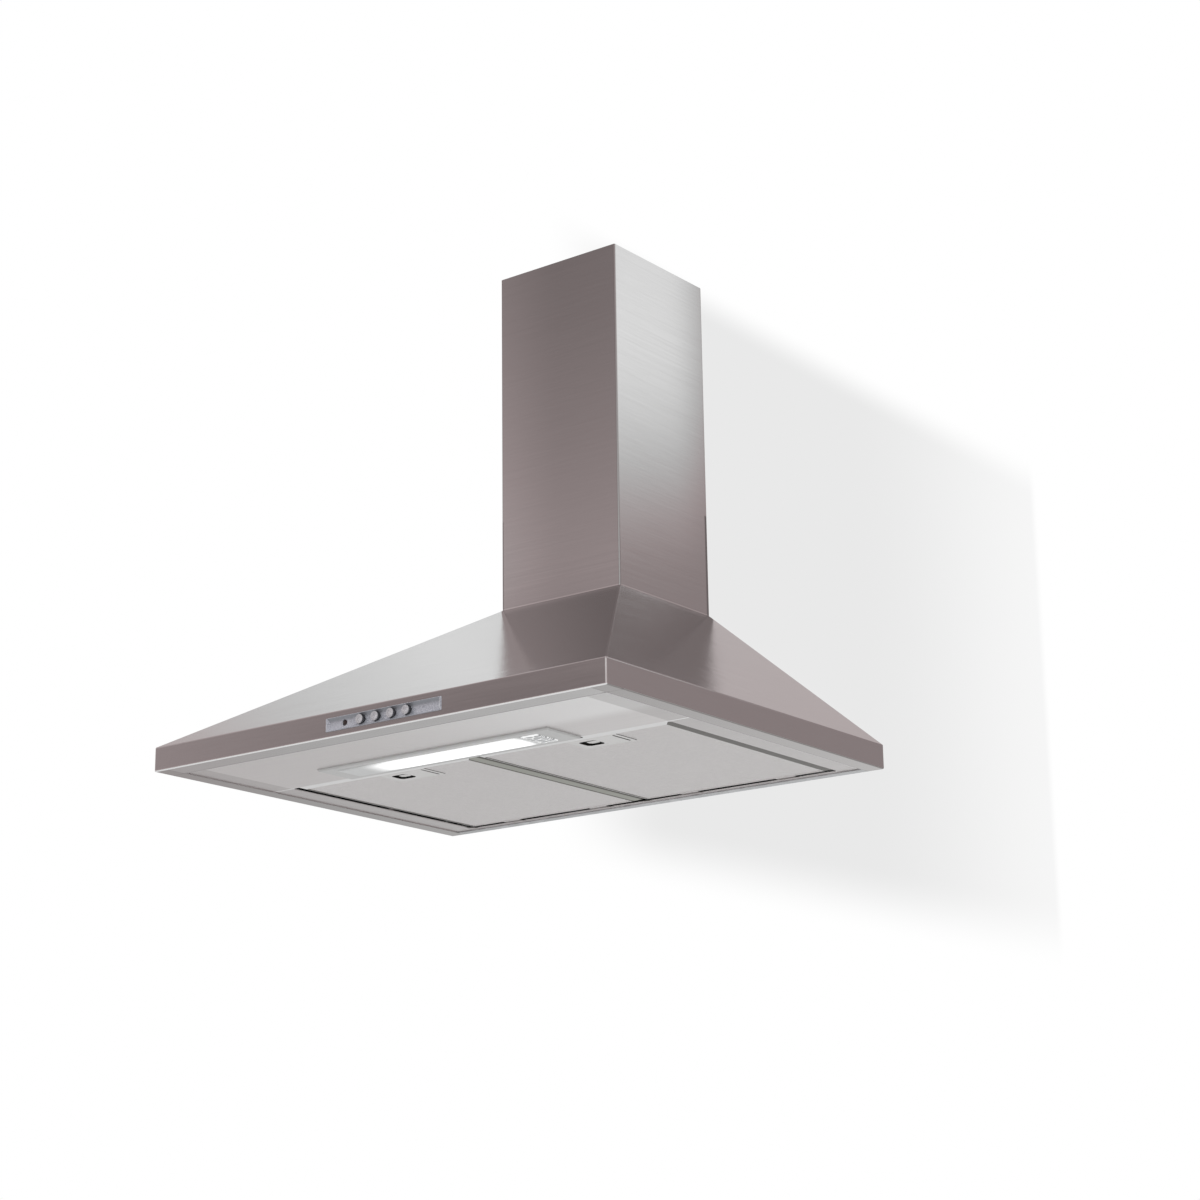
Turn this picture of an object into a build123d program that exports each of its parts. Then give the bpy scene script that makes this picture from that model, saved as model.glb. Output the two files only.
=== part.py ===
"""Wall-mounted pyramid range hood, 60 cm wide.

X runs to the right as the cook sees it, Y runs into the wall and Z runs up.
The origin is on the wall plane, midway between the two hanging slots.
Heights are counted from the lower edge of the rim and turned into Z by level().
"""
import os
from math import cos, radians, sin

from build123d import *

os.makedirs("parts", exist_ok=True)

# ---------------------------------------------------------------- driving dimensions (mm)
# Canopy
hood_width = 600.0
hood_depth = 486.0
rim_height = 26.0
canopy_height = 206.0  # lower edge of the rim to the seat of the chimney
canopy_sheet = 1.0
fold_radius = 1.6  # outer radius of a pressed fold
front_flange = 27.0  # inward return under the front of the rim
side_flange = 20.0
wall_flange = 12.0  # spot-weld flange along the wall side
throat_flange = 8.0  # ledge round the air throat at the top
seat_gap = 0.2  # between sheets that are slid together

# Rear panel and the way the hood hangs
rear_sheet = 1.0
hang_height = 150.0  # hanging slots above the lower edge of the rim
hang_spacing = 210.0
hang_slot_width = 9.0
hang_slot_length = 24.0
lock_height = 45.0  # lower locking screws
lock_spacing = 400.0
lock_hole = 6.0

# Chimney
chimney_width = 165.0
chimney_depth = 169.0
chimney_height = 400.0
chimney_sheet = 0.8
chimney_return = 12.0
chimney_slide_gap = 0.5
upper_chimney_length = 386.0
foot_tab_width = 9.5  # tabs at the chimney's foot, screwed from inside the canopy
foot_tab_length = 30.0
foot_screw_x = 78.0
strap_screw_depth = 40.0

# Underside
panel_sheet = 1.0
filter_field_width = 508.0
filter_field_front = 324.0  # front edge of the filter opening, in front of the wall
filter_field_rear = 17.0
opening_radius = 6.0

# Grease filters
filter_gap = 1.2
filter_thickness = 9.0
filter_edge = 10.5  # width of the rolled frame
filter_bevel = 9.5
filter_bevel_rise = 3.0
filter_lip = 0.6
tab_width = 24.0
tab_length = 9.5
tab_sheet = 2.0
tab_lift = 0.3

# Filter handles and latches
pocket_width = 62.0
pocket_length = 36.0
pocket_depth = 8.0
pocket_offset = 22.0  # handle centre beside the filter's centre
pocket_roof = 1.2
pocket_gap = 0.1
finger_width = 22.0
finger_length = 20.0
finger_offset = 12.0
slit_width = 2.4
slit_length = 30.0
slit_offset = 25.5
slit_depth = 3.0
latch_width = 11.0
latch_bar = 2.0
latch_lift = 0.3  # latch nose above the panel
latch_nose = 4.6  # how far the nose reaches over the panel
latch_gap = 0.3
tongue_width = 13.0
tongue_length = 9.0
latch_travel = 6.0
spring_sheet = 0.5
spring_strip = 3.0  # width of the folded strip
spring_swing = 4.0
spring_folds = 5
latch_lug = 2.0

# Lamp
lamp_x = -8.0
lamp_y = 353.0  # centre of the lamp, in front of the wall
bezel_length = 310.0
bezel_width = 54.0
bezel_thickness = 2.2
bezel_chamfer = 1.2
lamp_cut_length = 290.0
lamp_cut_width = 44.0
lens_length = 268.0
lens_width = 34.0
lens_crown = 1.0
lens_flange = 4.0
lens_wall = 1.5
tray_height = 36.0
tray_sheet = 0.8
tray_tab = 12.0
tube_radius = 6.0
tube_sides = 12
tube_pitch = 15.0
tube_length = 205.0
tube_base = 30.0
holder_length = 26.0
holder_width = 34.0
holder_height = 24.0
tube_base_width = 32.0
tube_base_height = 18.0
ballast_length = 80.0
ballast_width = 34.0
ballast_height = 28.0
ballast_chamfer = 2.0
ballast_foot = 8.0

# Controls
control_x = 25.0
control_height = 13.0
control_length = 152.0
control_width = 14.0
control_wall = 1.2
control_corner = 2.4
control_proud = 0.8
control_scoop = 2.6  # depth of the hollow face
scoop_floor = 6.0
scoop_end = 3.0  # solid end of the fascia
control_body = 8.0
button_radius = 4.8
button_sides = 24
button_pitch = 20.3
button_first = -29.5  # first button from the middle of the fascia
button_count = 4
button_proud = 4.6
button_travel = 3.0
button_gap = 0.25
button_stem = 2.0  # half width of the square stem
stem_reach = 6.0
pilot_offset = -52.0
pilot_radius = 3.2
pilot_sides = 16
switch_length = 92.0
switch_height = 17.0
switch_depth = 26.0

# Blower
fan_height = 103.0
fan_depth = 121.5  # fan axis in front of the wall
fan_radius = 60.0
fan_half_width = 62.0
fan_ring = 8.0
fan_ring_sheet = 1.5
fan_disc = 1.6
blade_count = 16
ring_sides = 32  # two flats of the rings for each blade
blade_thickness = 1.0
blade_sweep = 8.0  # degrees that the tip leads the root
blade_bow = 2.5  # degrees that the middle hangs back
hub_radius = 9.0
hub_sides = 16
hub_front = 7.0
hub_reach = 14.0
scroll_start = 68.0
scroll_growth = 24.0
scroll_flats = 30
scroll_wall = 2.0
scroll_half_width = 71.0
scroll_tongue_angle = 105.0
outlet_length = 110.0
flange_width = 96.0
housing_flange_thickness = 2.5
inlet_radius = 52.0
inlet_sides = 36
motor_radius = 40.0
motor_sides = 32
motor_inner_end = -9.0
motor_bore_gap = 0.8
shaft_radius = 4.0
shaft_fit = 0.05
bush_radius = 7.0
bush_sides = 8  # flats keep the bushes from turning
bush_length = 10.0
bore_sides = 16  # flats of the bores round the shaft
bracket_sheet = 2.5
bracket_arm = 13.0
bracket_hub = 24.0
bracket_reach = 60.0
grommet_radius = 6.5
grommet_height = 2.5
guard_sheet = 2.0
guard_radius = 59.0  # to the corners of its frame
guard_sides = 8
guard_width = 2.4
guard_bars = 7
guard_pitch = 14.0

# Air outlet
duct_radius = 60.0
collar_sides = 48  # flats of the collar's bore and of the flaps in it
plate_opening_sides = 8  # flats of the cut-out under the collar
collar_wall = 2.0
collar_height = 44.0
collar_plate_width = 124.0
collar_plate = 136.0
collar_plate_corner = 20.0
collar_screw_x = 40.0
collar_screw_y = 61.0
collar_plate_thickness = 2.0
gasket_thickness = 1.0
flap_pin_radius = 1.5
pin_fit = 0.04
flap_sheet = 1.2
flap_gap = 0.8
flap_drop = 3.0  # underside of a closed flap below the pin
knuckle_radius = 3.0
knuckle_sides = 8
knuckle_length = 20.0  # of the two outer knuckles, on the rear flap
knuckle_outer = 46.0  # their outer ends, from the middle
knuckle_gap = 1.0
ledge_reach = 3.0  # ledge inside the collar that the closed flaps lie on
ledge_gap = 0.3

# Electrical parts
box_length = 70.0
box_height = 45.0
box_depth = 34.0
box_inset = 150.0  # from the hood's left side
box_level = 50.0
box_corner = 3.0
lid_thickness = 2.0
capacitor_length = 50.0
capacitor_height = 30.0
capacitor_depth = 22.0
capacitor_chamfer = 2.0
capacitor_x = 140.0
capacitor_level = 72.0
cable_radius = 3.0
cable_sides = 6
cable_bend = 22.0
cable_gap = 0.2
clip_length = 9.0
clip_wall = 1.2
clip_foot = 2.4
clip_sides = 8  # the clips are folded, not round
clip_depths = (100.0, 245.0, 390.0)  # in front of the wall
cable_entry = 16.0  # cable behind the fascia
grommet_x = -62.0
grommet_y = 19.0
grommet_hole = 7.0
grommet_sides = 8
grommet_flange = 2.5
grommet_bore = 4.0
grommet_rise = 2.0

# Chimney bracket
strap_sheet = 1.5
strap_height = 30.0
strap_drop = 24.0
strap_arm = 40.0
strap_hole = 5.5
strap_spacing = 90.0

# Screws
screw_radius = 2.0
screw_head = 4.0
screw_head_height = 2.2
screw_gap = 0.2
screw_sides = 8  # screws and their clearance holes have flats


def level(height):
    """Z of a height above the lower edge of the rim."""
    return height - hang_height


def finish(builder, name):
    """Label a finished piece and write it out."""
    builder.part.label = name
    export_step(builder.part, f"parts/{name}.step")


def front_view(depth):
    """Upright plane that faces the cook, at a depth in front of the wall."""
    return Plane.XZ.offset(depth)


def pan_screws(seats, length, name):
    """A set of pan-head screws, one for each seat plane (its normal points at the head)."""
    with BuildPart() as screws:
        for seat in seats:
            with BuildSketch(seat):
                RegularPolygon(screw_head, screw_sides)
            extrude(amount=screw_head_height)
            with BuildSketch(seat):
                RegularPolygon(screw_radius, screw_sides)
            extrude(amount=-length)
    finish(screws, name)
    return screws


# ---------------------------------------------------------------- canopy
open_past = 5.0  # how far a cutter runs past an open side


# Rim and slopes as seen from the front
front_outline = [
    (-hood_width / 2, level(0)),
    (hood_width / 2, level(0)),
    (hood_width / 2, level(rim_height)),
    (chimney_width / 2, level(canopy_height)),
    (-chimney_width / 2, level(canopy_height)),
    (-hood_width / 2, level(rim_height)),
]


def side_outline(behind):
    """Rim and front slope as seen from the right, ending behind the wall plane."""
    return [
        (behind, level(0)),
        (-hood_depth, level(0)),
        (-hood_depth, level(rim_height)),
        (-chimney_depth, level(canopy_height)),
        (behind, level(canopy_height)),
    ]


with BuildPart() as canopy_hollow:
    with BuildSketch(Plane.XZ.offset(-open_past)):
        with BuildLine():
            Polyline(*front_outline, close=True)
        make_face()
        offset(amount=-canopy_sheet, kind=Kind.INTERSECTION)
    extrude(amount=hood_depth + 2 * open_past)
    with BuildSketch(Plane.YZ):
        with BuildLine():
            Polyline(*side_outline(open_past), close=True)
        make_face()
        offset(amount=-canopy_sheet, kind=Kind.INTERSECTION)
    extrude(amount=hood_width, both=True, mode=Mode.INTERSECT)

with BuildPart() as canopy_shell:
    with BuildSketch(Plane.XZ):
        with BuildLine():
            Polyline(*front_outline, close=True)
        make_face()
    extrude(amount=hood_depth)
    with BuildSketch(Plane.YZ):
        with BuildLine():
            Polyline(*side_outline(0), close=True)
        make_face()
    extrude(amount=hood_width, both=True, mode=Mode.INTERSECT)
    folds = canopy_shell.edges().filter_by(
        lambda edge: edge.center().Y < -fold_radius
        and edge.center().Z < level(canopy_height) - fold_radius
    )
    fillet(folds, fold_radius)
    add(canopy_hollow.part, mode=Mode.SUBTRACT)
    # Mouth of the canopy: the sheet left round it is the rim's return flange
    with BuildSketch(Plane.XY.offset(level(0))):
        with Locations((0, -(hood_depth - front_flange) / 2)):
            Rectangle(hood_width - 2 * side_flange, hood_depth - front_flange)
        with Locations((0, -rear_sheet / 2)):
            Rectangle(hood_width - 2 * canopy_sheet, rear_sheet)
    extrude(amount=2 * canopy_sheet, mode=Mode.SUBTRACT)
    # Spot-weld flange that the rear panel lies against
    with BuildSketch(front_view(rear_sheet)):
        with BuildLine():
            Polyline(*front_outline, close=True)
        make_face()
        offset(amount=-canopy_sheet / 2, kind=Kind.INTERSECTION)
        with BuildSketch(mode=Mode.SUBTRACT):
            with BuildLine():
                Polyline(*front_outline, close=True)
            make_face()
            offset(amount=-wall_flange, kind=Kind.INTERSECTION)
        with Locations((0, level(0))):
            foot_clearance = 2 * (canopy_sheet + panel_sheet + seat_gap)
            Rectangle(hood_width, foot_clearance, mode=Mode.SUBTRACT)
    extrude(amount=canopy_sheet)
    # Air throat
    with BuildSketch(Plane.XY.offset(level(canopy_height))):
        with Locations((0, -chimney_depth / 2)):
            Rectangle(chimney_width - 2 * throat_flange, chimney_depth - 2 * throat_flange)
    extrude(amount=-2 * canopy_sheet, mode=Mode.SUBTRACT)
    # Holes for the screws that hold the chimney
    with BuildSketch(Plane.XY.offset(level(canopy_height))):
        with Locations((0, -chimney_depth / 2)):
            with GridLocations(2 * foot_screw_x, 0, 2, 1):
                RegularPolygon(screw_radius + screw_gap, screw_sides)
    extrude(amount=-2 * canopy_sheet, mode=Mode.SUBTRACT)
    # Cut-out for the control fascia
    with BuildSketch(front_view(hood_depth)):
        with Locations((control_x, level(control_height))):
            Rectangle(control_length - 2 * control_wall, control_width - 2 * control_wall)
    extrude(amount=-2 * canopy_sheet, mode=Mode.SUBTRACT)
finish(canopy_shell, "canopy_shell")

with BuildPart() as rear_panel:
    with BuildSketch(Plane.XZ):
        with BuildLine():
            Polyline(*front_outline, close=True)
        make_face()
        offset(amount=-canopy_sheet - seat_gap, kind=Kind.INTERSECTION)
        with Locations((0, level(hang_height))):
            with GridLocations(hang_spacing, 0, 2, 1):
                SlotOverall(hang_slot_length, hang_slot_width, mode=Mode.SUBTRACT)
        with Locations((0, level(lock_height))):
            with GridLocations(lock_spacing, 0, 2, 1):
                Circle(lock_hole / 2, mode=Mode.SUBTRACT)
    extrude(amount=rear_sheet)
    # Foot flange that carries the rear of the underside panel
    with BuildSketch(Plane.XY.offset(level(0))):
        with Locations((0, -wall_flange / 2)):
            Rectangle(hood_width - 2 * (side_flange + seat_gap), wall_flange)
        with Locations((0, -rear_sheet / 2)):
            Rectangle(hood_width - 2 * (canopy_sheet + seat_gap), rear_sheet)
    extrude(amount=canopy_sheet)
    # Close the plate down to its foot
    with BuildSketch(Plane.XY.offset(level(canopy_sheet))):
        with Locations((0, -rear_sheet / 2)):
            Rectangle(hood_width - 2 * (canopy_sheet + seat_gap), rear_sheet)
    extrude(amount=seat_gap)
finish(rear_panel, "rear_panel")

# ---------------------------------------------------------------- underside panel
panel_face = canopy_sheet  # lower face of the panel, lying on the rim's return flange
panel_top = panel_face + panel_sheet
field_length = filter_field_front - filter_field_rear
field_centre = -(filter_field_front + filter_field_rear) / 2
panel_front = hood_depth - canopy_sheet - seat_gap
panel_rear = rear_sheet + canopy_sheet + seat_gap
panel_half = hood_width / 2 - canopy_sheet - seat_gap

with BuildPart() as underside_panel:
    with BuildSketch(Plane.XY.offset(level(panel_face))):
        with Locations((0, -(panel_front + panel_rear) / 2)):
            Rectangle(2 * panel_half, panel_front - panel_rear)
        with Locations((0, field_centre)):
            RectangleRounded(filter_field_width, field_length, opening_radius, mode=Mode.SUBTRACT)
        with Locations((lamp_x, -lamp_y)):
            Rectangle(lamp_cut_length, lamp_cut_width, mode=Mode.SUBTRACT)
    extrude(amount=panel_sheet)
finish(underside_panel, "underside_panel")

# ---------------------------------------------------------------- top plate and chimney
plate_half = chimney_width / 2 - chimney_sheet - seat_gap  # outside of the lips
plate_front = chimney_depth - chimney_sheet - seat_gap
plate_rear = chimney_sheet + seat_gap
plate_top = canopy_height + canopy_sheet
duct_y = -chimney_depth / 2

foot_screw_places = [(-foot_screw_x, duct_y), (foot_screw_x, duct_y)]
collar_screw_places = [
    (x, duct_y + y) for x in (-collar_screw_x, collar_screw_x) for y in (-collar_screw_y, collar_screw_y)
]

with BuildSketch() as plate_opening:
    with Locations((0, duct_y)):
        RegularPolygon(
            duct_radius - collar_wall,
            plate_opening_sides,
            major_radius=False,
            rotation=180 / plate_opening_sides,
        )

with BuildPart() as top_plate:
    with BuildSketch(Plane.XY.offset(level(canopy_height))):
        with Locations((0, -(plate_front + plate_rear) / 2)):
            Rectangle(2 * plate_half, plate_front - plate_rear)
        add(plate_opening.sketch, mode=Mode.SUBTRACT)
        with Locations((grommet_x, -grommet_y)):
            RegularPolygon(grommet_hole, grommet_sides, mode=Mode.SUBTRACT)
        with Locations(*collar_screw_places, *foot_screw_places):
            RegularPolygon(screw_radius + screw_gap, screw_sides, mode=Mode.SUBTRACT)
    extrude(amount=canopy_sheet)
finish(top_plate, "top_plate")


def chimney_section(half_width, front, rear, foot, length):
    """Folded U of sheet, open to the wall, with a return along each rear edge."""
    sheet = chimney_sheet
    with BuildPart() as section:
        with BuildSketch(Plane.XY.offset(level(foot))):
            with Locations((0, -(front + rear) / 2)):
                Rectangle(2 * half_width, front - rear)
        extrude(amount=length)
        fillet(section.edges().filter_by(Axis.Z), fold_radius)
        with BuildSketch(Plane.XY.offset(level(foot))):
            with Locations((0, -(front + rear) / 2)):
                Rectangle(2 * (half_width - sheet), front - rear - 2 * sheet)
            with Locations((0, -rear - sheet)):
                Rectangle(2 * (half_width - chimney_return), 4 * sheet)
        extrude(amount=length, mode=Mode.SUBTRACT)
    return section.part


with BuildPart() as lower_chimney:
    add(chimney_section(chimney_width / 2, chimney_depth, 0, canopy_height, chimney_height))
    # Tabs at the foot, lying on the top plate
    with BuildSketch(Plane.XY.offset(level(plate_top))):
        with Locations((0, duct_y)):
            Rectangle(chimney_width - chimney_sheet, foot_tab_length)
            Rectangle(
                chimney_width - 2 * (chimney_sheet + foot_tab_width),
                foot_tab_length,
                mode=Mode.SUBTRACT,
            )
        with Locations(*foot_screw_places):
            RegularPolygon(screw_radius + screw_gap, screw_sides, mode=Mode.SUBTRACT)
    extrude(amount=chimney_sheet)
finish(lower_chimney, "lower_chimney")

# Screws from inside the canopy, through its ledge and the top plate into the tabs
ledge_face = canopy_height - canopy_sheet
pan_screws(
    [Plane(origin=(*place, level(ledge_face)), z_dir=(0, 0, -1)) for place in foot_screw_places],
    2 * canopy_sheet + chimney_sheet,
    "chimney_screws",
)

upper_half = chimney_width / 2 - chimney_sheet - chimney_slide_gap
upper_front = chimney_depth - chimney_sheet - chimney_slide_gap
upper_rear = chimney_sheet + chimney_slide_gap
upper_foot = plate_top + chimney_sheet + seat_gap
upper_top = upper_foot + upper_chimney_length
strap_level = upper_top - strap_drop  # middle of the wall strap inside the upper section
with BuildPart() as upper_chimney:
    add(chimney_section(upper_half, upper_front, upper_rear, upper_foot, upper_chimney_length))
    with BuildSketch(Plane.YZ):
        with Locations((-strap_screw_depth, level(strap_level))):
            RegularPolygon(screw_radius + screw_gap, screw_sides)
    extrude(amount=chimney_width, both=True, mode=Mode.SUBTRACT)
finish(upper_chimney, "upper_chimney")

strap_half = upper_half - chimney_sheet
with BuildPart() as chimney_bracket:
    # Hat-shaped strap: wall plate, two steps round the chimney's returns, two arms
    wall_plate_half = chimney_width / 2 - chimney_return - 2 * chimney_sheet
    step_depth = upper_rear + chimney_sheet + seat_gap
    with BuildSketch(Plane.XY.offset(level(strap_level - strap_height / 2))):
        with Locations((0, -strap_sheet / 2)):
            Rectangle(2 * wall_plate_half, strap_sheet)
        for side in (-1, 1):
            with Locations((side * (wall_plate_half - strap_sheet / 2), -step_depth / 2)):
                Rectangle(strap_sheet, step_depth)
            with Locations(
                (side * (wall_plate_half - strap_sheet + strap_half) / 2, -step_depth - strap_sheet / 2)
            ):
                Rectangle(strap_half - wall_plate_half + strap_sheet, strap_sheet)
            with Locations((side * (strap_half - strap_sheet / 2), -step_depth - strap_arm / 2)):
                Rectangle(strap_sheet, strap_arm)
    extrude(amount=strap_height)
    with BuildSketch(Plane.XZ):
        with Locations((0, level(strap_level))):
            with GridLocations(strap_spacing, 0, 2, 1):
                Circle(strap_hole / 2)
    extrude(amount=2 * strap_sheet, mode=Mode.SUBTRACT)
    with BuildSketch(Plane.YZ):
        with Locations((-strap_screw_depth, level(strap_level))):
            RegularPolygon(screw_radius + screw_gap, screw_sides)
    extrude(amount=chimney_width, both=True, mode=Mode.SUBTRACT)
finish(chimney_bracket, "chimney_bracket")

pan_screws(
    [
        Plane(
            origin=(side * (strap_half - strap_sheet), -strap_screw_depth, level(strap_level)),
            x_dir=(0, 1, 0),
            z_dir=(-side, 0, 0),
        )
        for side in (-1, 1)
    ],
    strap_sheet + chimney_sheet,
    "bracket_screws",
)

# ---------------------------------------------------------------- lamp
bezel_face = panel_face - bezel_thickness  # lowest face of the bezel
lens_face = bezel_face - lens_crown

with BuildPart() as lamp_bezel:
    with BuildSketch(Plane.XY.offset(level(bezel_face))):
        with Locations((lamp_x, -lamp_y)):
            Rectangle(bezel_length, bezel_width)
    extrude(amount=bezel_thickness)
    chamfer(lamp_bezel.faces().sort_by(Axis.Z)[0].edges(), bezel_chamfer)
    # Skirt that snaps into the panel
    with BuildSketch(Plane.XY.offset(level(panel_face))):
        with Locations((lamp_x, -lamp_y)):
            Rectangle(lamp_cut_length - 2 * seat_gap, lamp_cut_width - 2 * seat_gap)
    extrude(amount=panel_sheet + lens_wall)
    with BuildSketch(Plane.XY.offset(level(bezel_face))):
        with Locations((lamp_x, -lamp_y)):
            Rectangle(lens_length + 2 * seat_gap, lens_width + 2 * seat_gap)
    extrude(amount=bezel_thickness + panel_sheet + lens_wall, mode=Mode.SUBTRACT)
finish(lamp_bezel, "lamp_bezel")

lens_seat = panel_top + lens_wall  # top of the bezel's skirt, where the lens rests
with BuildPart() as lamp_lens:
    with BuildSketch(Plane.XY.offset(level(lens_face))):
        with Locations((lamp_x, -lamp_y)):
            Rectangle(lens_length, lens_width)
    extrude(amount=lens_seat - lens_face)
    fillet(lamp_lens.faces().sort_by(Axis.Z)[0].edges(), lens_crown)
    with BuildSketch(Plane.XY.offset(level(lens_seat))):
        with Locations((lamp_x, -lamp_y)):
            Rectangle(lens_length + 2 * lens_flange, lens_width + 2 * lens_flange)
    extrude(amount=lens_wall)
    with BuildSketch(Plane.XY.offset(level(lens_face + lens_wall))):
        with Locations((lamp_x, -lamp_y)):
            Rectangle(lens_length - 2 * lens_wall, lens_width - 2 * lens_wall)
    extrude(amount=lens_seat + lens_wall, mode=Mode.SUBTRACT)
finish(lamp_lens, "lamp_lens")

tray_length = lamp_cut_length + 2 * seat_gap
tray_width = lamp_cut_width + 2 * seat_gap
with BuildPart() as lamp_reflector:
    with BuildSketch(Plane.XY.offset(level(panel_top))):
        with Locations((lamp_x, -lamp_y)):
            Rectangle(tray_length + 2 * tray_sheet, tray_width + 2 * tray_sheet)
    extrude(amount=tray_height)
    fillet(lamp_reflector.edges().filter_by(Axis.X).group_by(Axis.Z)[-1], tray_height / 4)
    with BuildSketch(Plane.XY.offset(level(panel_top))):
        with Locations((lamp_x, -lamp_y)):
            Rectangle(tray_length, tray_width)
    extrude(amount=tray_height - tray_sheet, mode=Mode.SUBTRACT)
    with BuildSketch(Plane.XY.offset(level(panel_top))):
        with Locations((lamp_x, -lamp_y)):
            with GridLocations(tray_length + 2 * tray_sheet + tray_tab, 0, 2, 1):
                Rectangle(tray_tab, tray_width)
    extrude(amount=tray_sheet)
finish(lamp_reflector, "lamp_reflector")

tray_ceiling = panel_top + tray_height - tray_sheet
lamp_level = tray_ceiling - holder_height / 2
holder_end = lamp_x + tray_length / 2  # inner face of the tray's right end
with BuildPart() as lamp_holder:
    with BuildSketch(Plane.YZ.offset(holder_end)):
        with Locations((-lamp_y, level(lamp_level))):
            Rectangle(holder_width, holder_height)
    extrude(amount=-holder_length)
finish(lamp_holder, "lamp_holder")

with BuildPart() as lamp_tube:
    base_end = holder_end - holder_length
    with BuildSketch(Plane.YZ.offset(base_end)):
        with Locations((-lamp_y, level(lamp_level))):
            RectangleRounded(tube_base_width, tube_base_height, tube_radius)
    extrude(amount=-tube_base)
    with BuildSketch(Plane.YZ.offset(base_end - tube_base)):
        with Locations((-lamp_y, level(lamp_level))):
            with GridLocations(tube_pitch, 0, 2, 1):
                RegularPolygon(tube_radius, tube_sides)
    extrude(amount=-tube_length)
    # Bridge that joins the two limbs near their tips
    with BuildSketch(Plane.YZ.offset(base_end - tube_base - tube_length + tube_radius)):
        with Locations((-lamp_y, level(lamp_level))):
            Rectangle(tube_pitch, tube_radius)
    extrude(amount=tube_radius)
finish(lamp_tube, "lamp_tube")

# The ballast stands on the panel beside the holder's end of the tray
tray_tab_end = holder_end + tray_sheet + tray_tab + seat_gap
ballast_x = tray_tab_end + ballast_foot + ballast_length / 2
with BuildPart() as ballast:
    with BuildSketch(Plane.XY.offset(level(panel_top))):
        with Locations((ballast_x, -lamp_y)):
            Rectangle(ballast_length + 2 * ballast_foot, ballast_width)
    extrude(amount=tray_sheet)
    with BuildSketch(Plane.XY.offset(level(panel_top))):
        with Locations((ballast_x, -lamp_y)):
            Rectangle(ballast_length, ballast_width)
    extrude(amount=ballast_height)
    chamfer(ballast.edges().filter_by(Axis.X).group_by(Axis.Z)[-1], ballast_chamfer)
finish(ballast, "ballast")

# ---------------------------------------------------------------- controls
fascia_front = hood_depth + control_proud
fascia_rear = fascia_front - control_body
scoop_width = control_width - control_wall
button_places = [
    (control_x + button_first + button_pitch * index, level(control_height))
    for index in range(button_count)
]
pilot_place = (control_x + pilot_offset, level(control_height))

with BuildPart() as control_fascia:
    with BuildSketch(front_view(fascia_rear)):
        with Locations((control_x, level(control_height))):
            inset = control_wall + seat_gap
            Rectangle(control_length - 2 * inset, control_width - 2 * inset)
    extrude(amount=control_body)
    with BuildSketch(front_view(hood_depth)) as fascia_outline:
        with Locations((control_x, level(control_height))):
            Rectangle(control_length, control_width)
        chamfer(fascia_outline.vertices(), control_corner / 2)
    extrude(amount=control_proud)
    # Hollow face: a trough along the fascia, stopped by a solid end at each side
    scoop_length = control_length - 2 * scoop_end
    with BuildSketch(Plane.YZ.offset(control_x - scoop_length / 2)):
        with BuildLine():
            Polyline(
                (-fascia_front, level(control_height - scoop_width / 2)),
                (-fascia_front + control_scoop, level(control_height - scoop_floor / 2)),
                (-fascia_front + control_scoop, level(control_height + scoop_floor / 2)),
                (-fascia_front, level(control_height + scoop_width / 2)),
                close=True,
            )
        make_face()
    extrude(amount=scoop_length, mode=Mode.SUBTRACT)
    with BuildSketch(front_view(fascia_rear)):
        with Locations(*button_places):
            RegularPolygon(button_radius + button_gap, button_sides)
        with Locations(pilot_place):
            RegularPolygon(pilot_radius, pilot_sides)
    extrude(amount=control_body + control_proud, mode=Mode.SUBTRACT)
finish(control_fascia, "control_fascia")

with BuildPart() as pilot_lens:
    with BuildSketch(front_view(fascia_rear)):
        with Locations(pilot_place):
            RegularPolygon(pilot_radius, pilot_sides)
    extrude(amount=control_body - control_scoop + control_proud)
finish(pilot_lens, "pilot_lens")

switch_x = (button_places[0][0] + button_places[-1][0]) / 2
button_faces = fascia_front - control_scoop + button_proud
with BuildPart() as switch_block:
    with BuildSketch(front_view(fascia_rear)):
        with Locations((switch_x, level(control_height))):
            Rectangle(switch_length, switch_height)
    extrude(amount=-switch_depth)
    with BuildSketch(front_view(fascia_rear)):
        with Locations(*button_places):
            Rectangle(2 * (button_stem + button_gap), 2 * (button_stem + button_gap))
    extrude(amount=-stem_reach - button_travel - button_gap, mode=Mode.SUBTRACT)
finish(switch_block, "switch_block")

for index, place in enumerate(button_places):
    with BuildPart() as button:
        with BuildSketch(front_view(button_faces)):
            with Locations(place):
                RegularPolygon(button_radius, button_sides)
        extrude(amount=-(button_faces - fascia_rear - button_travel - button_gap))
        with BuildSketch(front_view(fascia_rear - stem_reach)):
            with Locations(place):
                Rectangle(2 * button_stem, 2 * button_stem)
        extrude(amount=stem_reach + button_travel + button_gap)
    finish(button, f"button_{index + 1}")

# ---------------------------------------------------------------- grease filters
filter_width = filter_field_width / 2 - 1.5 * filter_gap
filter_length = field_length - 2 * filter_gap
filter_face = panel_face
filter_front = filter_field_front - filter_gap
filter_rear = filter_field_rear + filter_gap
filter_y = -(filter_front + filter_rear) / 2
pocket_y = -(filter_front - filter_edge - pocket_length / 2)
latch_level = panel_top + latch_lift


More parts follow.
